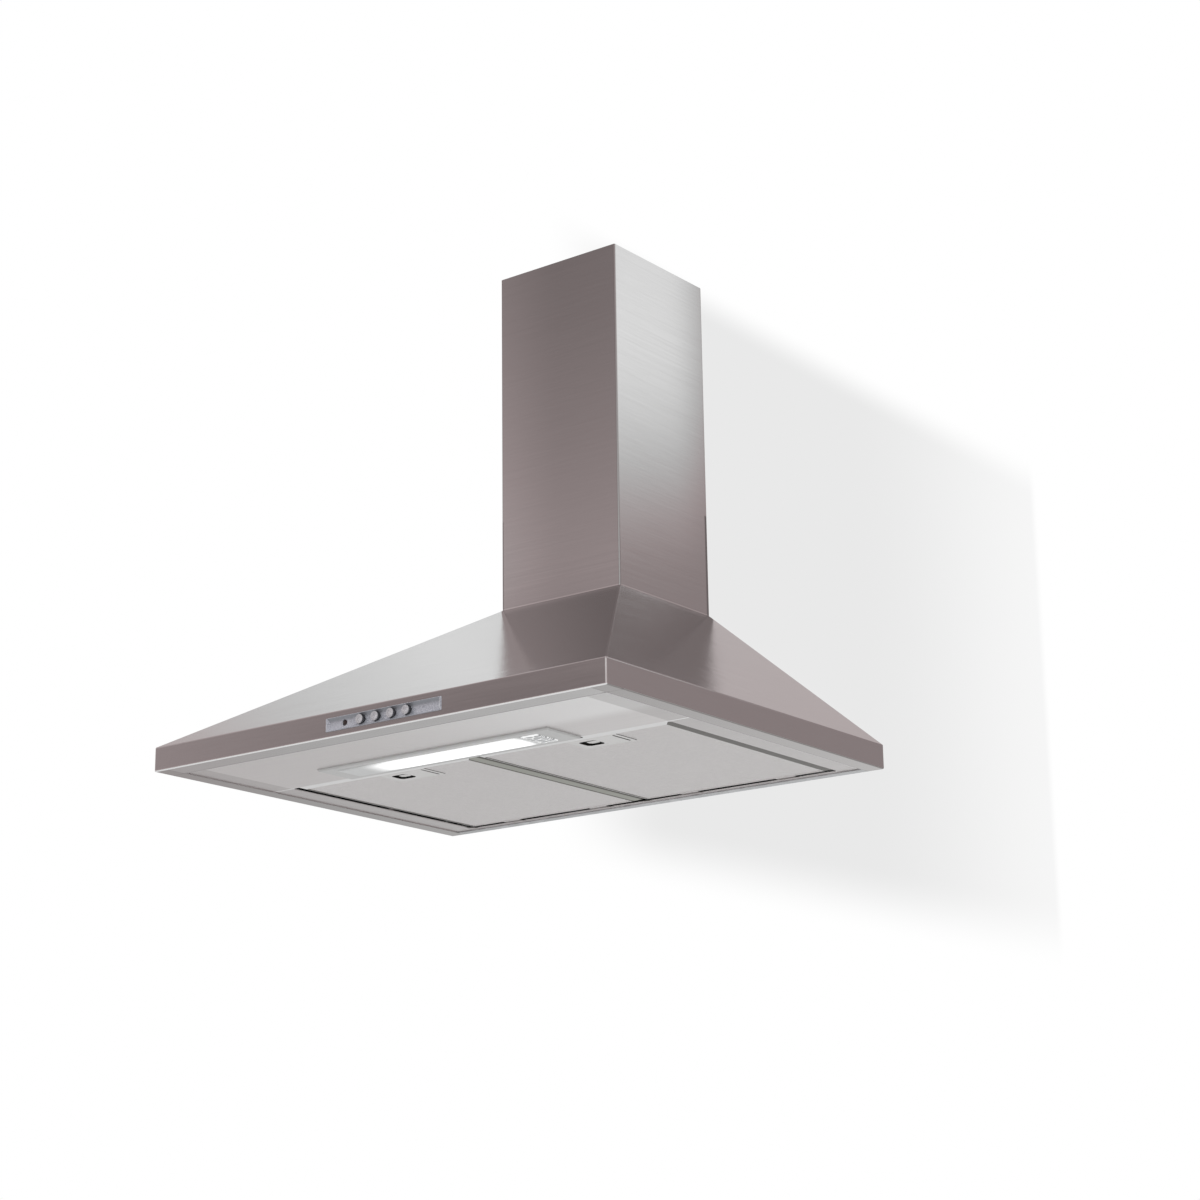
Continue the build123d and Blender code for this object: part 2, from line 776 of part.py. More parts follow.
def grease_filter(side, name):
    """One cassette: rolled frame, pleated mesh, handle pocket, latch and its spring."""
    x = side * (filter_width + filter_gap) / 2
    pocket_x = x + pocket_offset
    finger_x = pocket_x - finger_offset
    window = (filter_width - 2 * filter_edge, filter_length - 2 * filter_edge)
    with BuildPart() as frame:
        with BuildSketch(Plane.XY.offset(level(filter_face))):
            with Locations((x, filter_y)):
                Rectangle(filter_width - 2 * filter_bevel, filter_length - 2 * filter_bevel)
        with BuildSketch(Plane.XY.offset(level(filter_face + filter_bevel_rise))):
            with Locations((x, filter_y)):
                Rectangle(filter_width, filter_length)
        loft()
        with BuildSketch(Plane.XY.offset(level(filter_face + filter_bevel_rise))):
            with Locations((x, filter_y)):
                Rectangle(filter_width, filter_length)
        extrude(amount=filter_thickness - filter_bevel_rise)
        with BuildSketch(Plane.XY.offset(level(filter_face))):
            with Locations((x, filter_y)):
                Rectangle(*window)
        extrude(amount=filter_thickness, mode=Mode.SUBTRACT)
        # Pivot tabs that sit on the panel behind the filter
        with BuildSketch(Plane.XY.offset(level(panel_top + tab_lift))):
            with Locations((x, -filter_rear + (tab_length - filter_edge) / 2)):
                with GridLocations(filter_width / 2, 0, 2, 1):
                    Rectangle(tab_width, tab_length + filter_edge)
        extrude(amount=tab_sheet)
        # Slot for the latch
        with BuildSketch(Plane.XY.offset(level(latch_level - latch_gap))):
            with Locations((finger_x, -filter_front + filter_edge / 2)):
                Rectangle(latch_width + 2 * latch_gap, 2 * filter_edge)
        extrude(amount=latch_bar + 2 * latch_gap, mode=Mode.SUBTRACT)
    finish(frame, f"filter_frame_{name}")

    with BuildPart() as mesh:
        with BuildSketch(Plane.XY.offset(level(filter_face + filter_lip))):
            with Locations((x, filter_y)):
                Rectangle(*window)
            with Locations((pocket_x, pocket_y)):
                Rectangle(pocket_width + 2 * pocket_gap, pocket_length + 2 * pocket_gap, mode=Mode.SUBTRACT)
        extrude(amount=filter_thickness - 2 * filter_lip)
    finish(mesh, f"filter_mesh_{name}")

    with BuildPart() as pocket:
        with BuildSketch(Plane.XY.offset(level(filter_face))):
            with Locations((pocket_x, pocket_y)):
                Rectangle(pocket_width, pocket_length)
        extrude(amount=pocket_depth)
        # Finger hole
        with BuildSketch(Plane.XY.offset(level(filter_face))):
            with Locations((finger_x, pocket_y)):
                RectangleRounded(finger_width, finger_length, finger_length / 4)
        extrude(amount=pocket_depth - pocket_roof, mode=Mode.SUBTRACT)
        # Drain slit beside it
        with BuildSketch(Plane.XY.offset(level(filter_face))):
            with Locations((pocket_x + slit_offset, pocket_y)):
                Rectangle(slit_width, slit_length)
        extrude(amount=slit_depth, mode=Mode.SUBTRACT)
        # Guide channel of the latch, with the taller chamber of the spring behind it
        with BuildSketch(Plane.XY.offset(level(latch_level - latch_gap))):
            with Locations((finger_x, pocket_y - pocket_roof)):
                Rectangle(latch_width + 2 * latch_gap, pocket_length)
        extrude(amount=latch_bar + 2 * latch_gap, mode=Mode.SUBTRACT)
        with BuildSketch(Plane.XY.offset(level(latch_level - latch_gap))):
            with Locations((finger_x, -(spring_front + spring_rear) / 2)):
                Rectangle(latch_width + 2 * latch_gap, spring_front - spring_rear)
        extrude(amount=spring_strip + 2 * latch_gap, mode=Mode.SUBTRACT)
    finish(pocket, f"filter_handle_{name}")

    with BuildPart() as latch:
        bar_front = filter_field_front + latch_nose
        with BuildSketch(Plane.XY.offset(level(latch_level))):
            with Locations((finger_x, -(bar_front + latch_tail) / 2)):
                Rectangle(latch_width, bar_front - latch_tail)
        extrude(amount=latch_bar)
        chamfer(latch.faces().sort_by(Axis.Y)[0].edges().sort_by(Axis.Z)[0], latch_bar / 3)
        # Thumb tongue that hangs into the finger hole
        with BuildSketch(Plane.XY.offset(level(filter_face))) as tongue:
            with Locations((finger_x + (finger_width - tongue_width) / 2 - latch_gap, -tongue_y)):
                Rectangle(tongue_width, tongue_length)
            chamfer(tongue.vertices(), tongue_length / 4)
        extrude(amount=latch_level - filter_face)
        # Lug at the rear end that the spring pushes against
        with BuildSketch(Plane.XY.offset(level(latch_level))):
            with Locations((finger_x, -latch_tail - latch_lug / 2)):
                Rectangle(latch_width, latch_lug)
        extrude(amount=spring_strip)
    finish(latch, f"latch_{name}")

    with BuildPart() as spring:
        fold_pitch = (spring_front - spring_rear - spring_sheet) / spring_folds
        with BuildSketch(Plane.XY.offset(level(latch_level))):
            with BuildLine():
                Polyline(
                    (finger_x + spring_swing, -spring_rear - spring_sheet / 2),
                    *[
                        (
                            finger_x + (spring_swing if index % 2 else -spring_swing),
                            -spring_rear - spring_sheet / 2 - index * fold_pitch,
                        )
                        for index in range(spring_folds + 1)
                    ],
                    (
                        finger_x + (-spring_swing if spring_folds % 2 else spring_swing),
                        -spring_front + spring_sheet / 2,
                    ),
                )
            trace(line_width=spring_sheet)
        extrude(amount=spring_strip)
    finish(spring, f"latch_spring_{name}")


latch_tail = -pocket_y - finger_length / 2 + latch_travel + latch_gap  # rear end of the bar
tongue_y = -pocket_y + latch_travel / 2  # middle of the thumb tongue
spring_front = latch_tail
spring_rear = -pocket_y - pocket_length / 2 + pocket_roof
for side, name in ((-1, "left"), (1, "right")):
    grease_filter(side, name)

# ---------------------------------------------------------------- blower
scroll_end = scroll_start + scroll_growth
outlet_rear = fan_depth - scroll_end  # rear wall of the outlet, in front of the wall
outlet_front = outlet_rear + outlet_length
turn = 360 - scroll_tongue_angle
motor_outer_end = -scroll_half_width - grommet_height
fan_axis_place = (-fan_depth, level(fan_height))
arm_angles = (90, 210, 330)
arm_ends = [
    (
        fan_axis_place[0] + bracket_reach * cos(radians(angle)),
        fan_axis_place[1] + bracket_reach * sin(radians(angle)),
    )
    for angle in arm_angles
]


def scroll_point(angle, inset):
    """Point of the scroll's wall in the YZ plane; it grows steadily from the tongue."""
    radius = scroll_start + scroll_growth * (angle - scroll_tongue_angle) / turn - inset
    return (
        fan_axis_place[0] + radius * cos(radians(angle)),
        fan_axis_place[1] + radius * sin(radians(angle)),
    )


def scroll_outline(inset):
    """Wall of the scroll from the tongue round to the outlet, then up to the top plate."""
    return [
        *[
            scroll_point(scroll_tongue_angle + turn * index / scroll_flats, inset)
            for index in range(scroll_flats + 1)
        ],
        (-outlet_rear - inset, level(canopy_height)),
        (-outlet_front + inset, level(canopy_height)),
    ]


def blower_half(side, name):
    """Half of the scroll, closed by its end wall with the air inlet."""
    with BuildPart() as half:
        with BuildSketch(Plane.YZ):
            with BuildLine():
                Polyline(*scroll_outline(0), close=True)
            make_face()
        extrude(amount=side * scroll_half_width)
        with BuildSketch(Plane.XY.offset(level(canopy_height))):
            with Locations((side * flange_width / 4, duct_y)):
                Rectangle(flange_width / 2, collar_plate)
        extrude(amount=-housing_flange_thickness)
        with BuildSketch(Plane.YZ):
            with BuildLine():
                Polyline(*scroll_outline(scroll_wall), close=True)
            make_face()
        extrude(amount=side * (scroll_half_width - scroll_wall), mode=Mode.SUBTRACT)
        # Air inlet
        with BuildSketch(Plane.YZ.offset(side * scroll_half_width)):
            with Locations(fan_axis_place):
                RegularPolygon(inlet_radius, inlet_sides)
        extrude(amount=-side * scroll_wall, mode=Mode.SUBTRACT)
        with BuildSketch(Plane.XY.offset(level(canopy_height))):
            with Locations(*collar_screw_places):
                RegularPolygon(screw_radius + screw_gap, screw_sides)
        extrude(amount=-housing_flange_thickness, mode=Mode.SUBTRACT)
        if side < 0:
            # Holes for the screws of the motor's bracket
            with BuildSketch(Plane.YZ.offset(side * scroll_half_width)):
                with Locations(*arm_ends):
                    RegularPolygon(screw_radius + screw_gap, screw_sides)
            extrude(amount=scroll_wall, mode=Mode.SUBTRACT)
    finish(half, f"blower_housing_{name}")


for side, name in ((-1, "left"), (1, "right")):
    blower_half(side, name)

# Fan wheel: disc at the blades' roots, two end rings and forward-curved blades
blade_inner = fan_radius - fan_ring


def blade_point(radius, angle):
    """Point of a blade's middle line, from the wheel's axis."""
    return (radius * cos(radians(angle)), radius * sin(radians(angle)))


with BuildSketch() as blade:
    with BuildLine():
        Polyline(
            blade_point(blade_inner + blade_thickness, 0),
            blade_point((blade_inner + fan_radius) / 2, blade_sweep / 2 - blade_bow),
            blade_point(fan_radius - blade_thickness, blade_sweep),
        )
    trace(line_width=blade_thickness)

with BuildPart() as fan_wheel:
    with BuildSketch(Plane.YZ.offset(-fan_disc / 2)):
        with Locations(fan_axis_place):
            RegularPolygon(blade_inner + 2 * blade_thickness, ring_sides)
    extrude(amount=fan_disc)
    for ring_start in (-fan_half_width, fan_half_width - fan_ring_sheet):
        with BuildSketch(Plane.YZ.offset(ring_start)):
            with Locations(fan_axis_place):
                RegularPolygon(fan_radius, ring_sides)
                RegularPolygon(blade_inner, ring_sides, mode=Mode.SUBTRACT)
        extrude(amount=fan_ring_sheet)
    with BuildSketch(Plane.YZ.offset(-hub_front)):
        with Locations(fan_axis_place):
            RegularPolygon(hub_radius, hub_sides)
    extrude(amount=hub_front + hub_reach)
    # The blades end inside the rings
    with BuildSketch(Plane.YZ.offset(-fan_half_width + fan_ring_sheet / 2)):
        with Locations(fan_axis_place):
            with PolarLocations(0, blade_count):
                add(blade.sketch)
    extrude(amount=2 * fan_half_width - fan_ring_sheet)
    with BuildSketch(Plane.YZ.offset(-fan_half_width)):
        with Locations(fan_axis_place):
            Circle(shaft_radius)
    extrude(amount=2 * fan_half_width, mode=Mode.SUBTRACT)
finish(fan_wheel, "fan_wheel")

shaft_start = motor_outer_end + bush_length / 4
with BuildPart() as motor_shaft:
    with BuildSketch(Plane.YZ.offset(shaft_start)):
        with Locations(fan_axis_place):
            Circle(shaft_radius)
    extrude(amount=hub_reach - shaft_start)
finish(motor_shaft, "motor_shaft")

with BuildPart() as motor_can:
    with BuildSketch(Plane.YZ.offset(motor_outer_end)):
        with Locations(fan_axis_place):
            RegularPolygon(motor_radius, motor_sides)
    extrude(amount=motor_inner_end - motor_outer_end)
    with BuildSketch(Plane.YZ.offset(motor_outer_end)):
        with Locations(fan_axis_place):
            RegularPolygon(bush_radius, bush_sides)
    extrude(amount=motor_inner_end - motor_outer_end, mode=Mode.SUBTRACT)
finish(motor_can, "motor_can")

with BuildPart() as motor_bushes:
    for start in (motor_outer_end, motor_inner_end - bush_length):
        with BuildSketch(Plane.YZ.offset(start)):
            with Locations(fan_axis_place):
                RegularPolygon(bush_radius, bush_sides)
                RegularPolygon(
                    shaft_radius + shaft_fit, bore_sides, major_radius=False, mode=Mode.SUBTRACT
                )
        extrude(amount=bush_length)
finish(motor_bushes, "motor_bushes")

with BuildPart() as motor_bracket:
    with BuildSketch(Plane.YZ.offset(motor_outer_end - bracket_sheet)):
        with Locations(fan_axis_place):
            RegularPolygon(bracket_hub, 2 * len(arm_ends))
        for angle, end in zip(arm_angles, arm_ends):
            middle = ((fan_axis_place[0] + end[0]) / 2, (fan_axis_place[1] + end[1]) / 2)
            with Locations(Location(middle, angle)):
                Rectangle(bracket_reach + bracket_arm, bracket_arm)
        with Locations(*arm_ends):
            RegularPolygon(screw_radius + screw_gap, screw_sides, mode=Mode.SUBTRACT)
        with Locations(fan_axis_place):
            RegularPolygon(shaft_radius + motor_bore_gap, bore_sides, mode=Mode.SUBTRACT)
    extrude(amount=bracket_sheet)
finish(motor_bracket, "motor_bracket")

with BuildPart() as motor_grommets:
    with BuildSketch(Plane.YZ.offset(-scroll_half_width)):
        with Locations(*arm_ends):
            RegularPolygon(grommet_radius, screw_sides)
            RegularPolygon(screw_radius + screw_gap, screw_sides, mode=Mode.SUBTRACT)
    extrude(amount=-grommet_height)
finish(motor_grommets, "motor_grommets")

pan_screws(
    [
        Plane(
            origin=(motor_outer_end - bracket_sheet, *end),
            x_dir=(0, 1, 0),
            z_dir=(-1, 0, 0),
        )
        for end in arm_ends
    ],
    bracket_sheet + grommet_height + scroll_wall,
    "motor_screws",
)

guard_turn = 180 / guard_sides  # a flat of the frame at the top
with BuildPart() as inlet_guard:
    with BuildSketch(Plane.YZ.offset(scroll_half_width)):
        with Locations(fan_axis_place):
            RegularPolygon(guard_radius, guard_sides, rotation=guard_turn)
            RegularPolygon(guard_radius - guard_width, guard_sides, rotation=guard_turn, mode=Mode.SUBTRACT)
            with GridLocations(guard_pitch, 0, guard_bars, 1):
                Rectangle(guard_width, 2 * guard_radius)
            Rectangle(2 * guard_radius, guard_width)
            RegularPolygon(guard_radius, guard_sides, rotation=guard_turn, mode=Mode.INTERSECT)
    extrude(amount=guard_sheet)
finish(inlet_guard, "inlet_guard")

# ---------------------------------------------------------------- air outlet
gasket_top = plate_top + gasket_thickness
collar_base_top = gasket_top + collar_plate_thickness
pin_level = collar_base_top + ledge_gap + flap_drop
collar_turn = 180 / collar_sides  # a flat of the bore at each end of the pin

with BuildSketch() as collar_outline:
    with Locations((0, duct_y)):
        Rectangle(collar_plate_width, collar_plate)
    chamfer(collar_outline.vertices(), collar_plate_corner)
    with Locations(*collar_screw_places):
        RegularPolygon(screw_radius + screw_gap, screw_sides, mode=Mode.SUBTRACT)

with BuildPart() as collar_gasket:
    with BuildSketch(Plane.XY.offset(level(plate_top))):
        add(collar_outline.sketch)
        add(plate_opening.sketch, mode=Mode.SUBTRACT)
    extrude(amount=gasket_thickness)
finish(collar_gasket, "collar_gasket")

with BuildPart() as outlet_collar:
    with BuildSketch(Plane.XY.offset(level(gasket_top))):
        add(collar_outline.sketch)
    extrude(amount=collar_plate_thickness)
    with BuildSketch(Plane.XY.offset(level(collar_base_top))):
        with Locations((0, duct_y)):
            Circle(duct_radius)
    extrude(amount=collar_height)
    with BuildSketch(Plane.XY.offset(level(collar_base_top))):
        with Locations((0, duct_y)):
            RegularPolygon(duct_radius - collar_wall, collar_sides, rotation=collar_turn)
    extrude(amount=collar_height, mode=Mode.SUBTRACT)
    # The plate is left as a ledge inside, for the closed flaps
    with BuildSketch(Plane.XY.offset(level(gasket_top))):
        with Locations((0, duct_y)):
            RegularPolygon(duct_radius - collar_wall - ledge_reach, collar_sides, rotation=collar_turn)
    extrude(amount=collar_plate_thickness, mode=Mode.SUBTRACT)
    # Holes for the flaps' pin
    with BuildSketch(Plane.YZ):
        with Locations((duct_y, level(pin_level))):
            Circle(flap_pin_radius)
    extrude(amount=duct_radius, both=True, mode=Mode.SUBTRACT)
finish(outlet_collar, "outlet_collar")

with BuildPart() as flap_pin:
    with BuildSketch(Plane.YZ):
        with Locations((duct_y, level(pin_level))):
            Circle(flap_pin_radius)
    extrude(amount=duct_radius, both=True)
finish(flap_pin, "flap_pin")


def outlet_flap(side, name, knuckles):
    """Half-moon flap; side is +1 for the one towards the wall, knuckles their middles and length."""
    flap_radius = duct_radius - collar_wall - flap_gap
    middles, length = knuckles
    arm_reach = knuckle_radius + 2 * flap_gap
    with BuildPart() as flap:
        with BuildSketch(Plane.XY.offset(level(pin_level - flap_drop))):
            with Locations((0, duct_y)):
                RegularPolygon(flap_radius, collar_sides, rotation=collar_turn)
            with Locations((0, duct_y - side * (flap_radius - knuckle_radius - flap_gap))):
                Rectangle(2 * flap_radius, 2 * flap_radius, mode=Mode.SUBTRACT)
            # Arms that carry the knuckles
            with Locations(*[(middle, duct_y + side * arm_reach / 2) for middle in middles]):
                Rectangle(length, arm_reach)
        extrude(amount=flap_sheet)
        for middle in middles:
            with BuildSketch(Plane.YZ.offset(middle - length / 2)):
                with Locations((duct_y, level(pin_level))):
                    RegularPolygon(
                        knuckle_radius, knuckle_sides, major_radius=False, rotation=180 / knuckle_sides
                    )
            extrude(amount=length)
        with BuildSketch(Plane.YZ):
            with Locations((duct_y, level(pin_level))):
                Circle(flap_pin_radius + pin_fit)
        extrude(amount=duct_radius, both=True, mode=Mode.SUBTRACT)
    finish(flap, f"flap_{name}")


# Two outer knuckles on the rear flap, one long one between them on the front flap
outer_middle = knuckle_outer - knuckle_length / 2
outlet_flap(1, "rear", ((-outer_middle, outer_middle), knuckle_length))
outlet_flap(-1, "front", ((0,), 2 * (knuckle_outer - knuckle_length - knuckle_gap)))

pan_screws(
    [Plane(origin=(*place, level(collar_base_top))) for place in collar_screw_places],
    gasket_thickness + collar_plate_thickness + canopy_sheet + housing_flange_thickness,
    "collar_screws",
)

# ---------------------------------------------------------------- electrical parts
box_cable_depth = rear_sheet + box_depth / 2
box_x = box_inset - hood_width / 2
with BuildPart() as terminal_box:
    with BuildSketch(front_view(rear_sheet)):
        with Locations((box_x, level(box_level + box_height / 2))):
            Rectangle(box_length, box_height)
    extrude(amount=box_depth)
    chamfer(terminal_box.edges().filter_by(Axis.Y), box_corner)
    offset(amount=-lid_thickness, openings=terminal_box.faces().sort_by(Axis.Y)[0])
    with BuildSketch(Plane.YZ.offset(box_x - box_length / 2)):
        with Locations((-box_cable_depth, level(box_level + box_height / 2))):
            Circle(cable_radius)
    extrude(amount=lid_thickness, mode=Mode.SUBTRACT)
finish(terminal_box, "terminal_box")

with BuildPart() as terminal_box_lid:
    with BuildSketch(front_view(rear_sheet + box_depth)) as lid_outline:
        with Locations((box_x, level(box_level + box_height / 2))):
            Rectangle(box_length, box_height)
        chamfer(lid_outline.vertices(), box_corner)
    extrude(amount=lid_thickness)
finish(terminal_box_lid, "terminal_box_lid")

with BuildPart() as capacitor:
    with BuildSketch(front_view(rear_sheet)):
        with Locations((capacitor_x, level(capacitor_level))):
            Rectangle(capacitor_length, capacitor_height)
    extrude(amount=capacitor_depth)
    chamfer(capacitor.faces().sort_by(Axis.Y)[0].edges(), capacitor_chamfer)
finish(capacitor, "capacitor")

# Control cable: from the switch block along the left side to the terminal box
lane_level = panel_top + cable_radius + cable_gap
cable_lane = (filter_field_width / 2 + hood_width / 2 - canopy_sheet) / 2
switch_side = switch_x - switch_length / 2
switch_exit_y = -(fascia_rear - cable_entry)
box_entry_level = box_level + box_height / 2
cable_points = [
    (switch_side, switch_exit_y, level(lane_level)),
    (-cable_lane, switch_exit_y, level(lane_level)),
    (-cable_lane, -box_cable_depth, level(lane_level)),
    (box_x - box_length / 2 - 2 * cable_bend, -box_cable_depth, level(box_entry_level)),
    (box_x - box_length / 2 + lid_thickness, -box_cable_depth, level(box_entry_level)),
]
with BuildPart() as control_cable:
    with BuildLine():
        FilletPolyline(*cable_points, radius=cable_bend)
    with BuildSketch(Plane(origin=cable_points[0], z_dir=(-1, 0, 0))):
        RegularPolygon(cable_radius, cable_sides)
    sweep()
finish(control_cable, "control_cable")

with BuildPart() as cable_clips:
    for depth in clip_depths:
        with BuildSketch(front_view(depth)):
            bore = cable_radius + cable_gap
            with Locations((-cable_lane, level(lane_level))):
                RegularPolygon(bore + clip_wall, clip_sides, major_radius=False, rotation=180 / clip_sides)
            with Locations((-cable_lane, level((panel_top + lane_level) / 2))):
                Rectangle(2 * (bore + clip_wall), lane_level - panel_top)
            with Locations((-cable_lane, level(panel_top + clip_wall / 2))):
                Rectangle(2 * (bore + clip_wall + clip_foot), clip_wall)
            # Open underneath, where the cable lies on the panel
            with Locations((-cable_lane, level(lane_level))):
                RegularPolygon(
                    bore,
                    clip_sides,
                    major_radius=False,
                    rotation=180 / clip_sides,
                    mode=Mode.SUBTRACT,
                )
            with Locations((-cable_lane, level(panel_face + lane_level / 2))):
                Rectangle(2 * bore, lane_level, mode=Mode.SUBTRACT)
            with Locations((-cable_lane, level(panel_face))):
                Rectangle(hood_width / 4, 2 * panel_sheet, mode=Mode.SUBTRACT)
        extrude(amount=clip_length)
finish(cable_clips, "cable_clips")

with BuildPart() as cable_grommet:
    with BuildSketch(Plane.XY.offset(level(canopy_height))):
        with Locations((grommet_x, -grommet_y)):
            RegularPolygon(grommet_hole, grommet_sides)
    extrude(amount=canopy_sheet)
    with BuildSketch(Plane.XY.offset(level(plate_top))):
        with Locations((grommet_x, -grommet_y)):
            RegularPolygon(grommet_hole + grommet_flange, grommet_sides)
    extrude(amount=grommet_rise)
    with BuildSketch(Plane.XY.offset(level(canopy_height))):
        with Locations((grommet_x, -grommet_y)):
            Circle(grommet_bore)
    extrude(amount=canopy_sheet + grommet_rise, mode=Mode.SUBTRACT)
finish(cable_grommet, "cable_grommet")
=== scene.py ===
import math

import bmesh
import bpy
from mathutils import Matrix, Vector


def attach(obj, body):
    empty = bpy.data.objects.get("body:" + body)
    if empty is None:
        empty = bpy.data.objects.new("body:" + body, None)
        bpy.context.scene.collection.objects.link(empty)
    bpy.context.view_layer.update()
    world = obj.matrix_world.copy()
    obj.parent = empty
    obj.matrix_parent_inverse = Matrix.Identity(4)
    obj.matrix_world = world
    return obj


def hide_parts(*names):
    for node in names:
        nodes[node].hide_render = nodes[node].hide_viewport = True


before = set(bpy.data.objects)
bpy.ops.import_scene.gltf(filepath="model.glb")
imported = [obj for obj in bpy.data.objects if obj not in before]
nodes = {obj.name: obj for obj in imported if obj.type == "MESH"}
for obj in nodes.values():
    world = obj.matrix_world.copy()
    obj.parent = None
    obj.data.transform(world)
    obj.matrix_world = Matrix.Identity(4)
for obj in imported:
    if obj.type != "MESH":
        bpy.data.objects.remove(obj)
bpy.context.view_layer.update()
scene = bpy.context.scene
print("frame loaded:", len(nodes), "nodes")

# camera, from the corners of the hood in the picture
cameraSettings = dict(azimuth=39.36, elevation=-15.8875, roll=-0.1703,
                      place=(1.64575, -2.27976, -0.70764), lens=75.733, shift=0.0833)


def makeCamera(s):
    az, el, roll = (math.radians(s[key]) for key in ("azimuth", "elevation", "roll"))
    back = Vector((math.sin(az) * math.cos(el), -math.cos(az) * math.cos(el), math.sin(el)))
    side = Vector((0, 0, 1)).cross(back).normalized()
    top = back.cross(side)
    turnedSide = math.cos(roll) * side + math.sin(roll) * top
    turnedTop = math.cos(roll) * top - math.sin(roll) * side
    data = bpy.data.cameras.new("camera")
    data.sensor_width = 36
    data.lens = s["lens"]
    data.shift_x = s["shift"]
    data.clip_start, data.clip_end = 0.05, 60
    camera = bpy.data.objects.new("camera", data)
    turn = Matrix((turnedSide, turnedTop, back)).transposed().to_4x4()
    camera.matrix_world = Matrix.Translation(s["place"]) @ turn
    scene.collection.objects.link(camera)
    scene.camera = camera


makeCamera(cameraSettings)
scene.view_settings.view_transform = "Standard"
print("camera set")


# node maths: a socket that can stand in sums
class Flow:
    def __init__(self, finish, socket):
        self.finish = finish
        self.socket = socket

    def maths(self, operation, *values):
        inputs = {index: value for index, value in enumerate(values)}
        return self.finish.node("Math", {"operation": operation}, inputs)

    def __add__(self, other): return self.maths("ADD", self, other)
    def __radd__(self, other): return self.maths("ADD", other, self)
    def __sub__(self, other): return self.maths("SUBTRACT", self, other)
    def __rsub__(self, other): return self.maths("SUBTRACT", other, self)
    def __mul__(self, other): return self.maths("MULTIPLY", self, other)
    def __rmul__(self, other): return self.maths("MULTIPLY", other, self)
    def __truediv__(self, other): return self.maths("DIVIDE", self, other)
    def __neg__(self): return self.maths("MULTIPLY", self, -1.0)
    def __abs__(self): return self.maths("ABSOLUTE", self)
    def smaller(self, other): return self.maths("MINIMUM", self, other)
    def larger(self, other): return self.maths("MAXIMUM", self, other)
    def sine(self): return self.maths("SINE", self)
    def pingPong(self, size): return self.maths("PINGPONG", self, size)

    def fade(self, low, high):  # 0 below low, 1 above high, soft between
        return self.finish.node("MapRange", {"interpolation_type": "SMOOTHSTEP"},
                                {"Value": self, "From Min": low, "From Max": high})


class Finish:
    # a material or the world, with its nodes
    def __init__(self, name, world=False):
        self.owner = (bpy.data.worlds if world else bpy.data.materials).new(name)
        self.owner.use_nodes = True
        self.tree = self.owner.node_tree
        self.shader = self.tree.nodes.get("Principled BSDF")

    def put(self, socket, value):
        if isinstance(value, Flow):
            self.tree.links.new(value.socket, socket)
        elif socket.type == "RGBA" and len(value) == 3:
            socket.default_value = (*value, 1.0)
        else:
            socket.default_value = value

    def node(self, kind, settings=None, inputs=None, out=0):
        made = self.tree.nodes.new("ShaderNode" + kind)
        for key, value in (settings or {}).items():
            if key == "stops":
                ramp = made.color_ramp
                while len(ramp.elements) < len(value):
                    ramp.elements.new(0.5)
                for element, (place, colour) in zip(ramp.elements, value):
                    element.position = place
                    element.color = (*colour, 1.0)
            else:
                setattr(made, key, value)
        for key, value in (inputs or {}).items():
            self.put(made.inputs[key], value)
        return Flow(self, made.outputs[out]) if made.outputs else None

    def place(self):  # object coordinates, in metres
        return self.node("TexCoord", out="Object")

    def axes(self, vector):
        split = self.node("SeparateXYZ", None, {0: vector})
        return [Flow(self, socket) for socket in split.socket.node.outputs]

    def spread(self, vector, factors):
        return self.node("VectorMath", {"operation": "MULTIPLY"}, {0: vector, 1: factors})

    def noise(self, vector, scale=1.0, detail=2.0, rough=0.5):
        return self.node("TexNoise", None, {"Vector": vector, "Scale": scale, "Detail": detail,
                                            "Roughness": rough})

    def mix(self, factor, first, second):
        return self.node("Mix", {"data_type": "RGBA"}, {0: factor, 6: first, 7: second}, out=2)

    def bump(self, height, distance, strength=1.0):
        return self.node("Bump", None, {"Height": height, "Distance": distance, "Strength": strength})

    def give(self, **values):
        for key, value in values.items():
            self.put(self.shader.inputs[key.replace("_", " ")], value)
        return self.owner


def brushedSteel(name, s):
    # fine grooves draw reflections out across them: the normal is fanned along z on what slopes
    f = Finish(name)
    point = f.place()
    x, y, z = f.axes(point)
    grooves = f.noise(f.spread(point, s["grooves"]), detail=1.0)
    longMarks = f.noise(f.spread(point, s["marks"]), detail=3.0)
    cloud = f.noise(point, 5.0, 3.0)
    normal = f.node("NewGeometry", out="Normal")
    upward = f.axes(normal)[2].fade(0.3, 0.6)
    swing = (grooves - 0.5) * s["fan"] + upward * (grooves - s["lean"]) * s["slopeFan"]
    bowX, bowY = x * s["bow"], (y + hoodSize["throatDepth"] / 2) * s["bow"]
    fanned = f.node("VectorMath", {"operation": "NORMALIZE"}, {0: f.node("VectorMath", {"operation": "ADD"}, {
        0: normal, 1: f.node("CombineXYZ", None, {0: bowX + swing * s["across"][0],
                                                  1: bowY + swing * s["across"][1],
                                                  2: swing * s["across"][2]})})})
    colour = f.mix(grooves.fade(0.3, 0.7), s["dark"], s["light"])
    colour = f.mix(longMarks.fade(0.35, 0.75) * s["streak"], colour, s["veil"])
    colour = f.mix(cloud.fade(0.35, 0.75) * s["cloud"], colour, s["veil"])
    for mask, tone, amount in s["lines"](x, y, z):
        colour = f.mix(mask * amount, colour, tone)
    rough = s["rough"] + (longMarks - 0.5) * 0.08 + (cloud - 0.5) * 0.05
    return f.give(Base_Color=colour, Metallic=1.0, Roughness=rough, Normal=fanned)


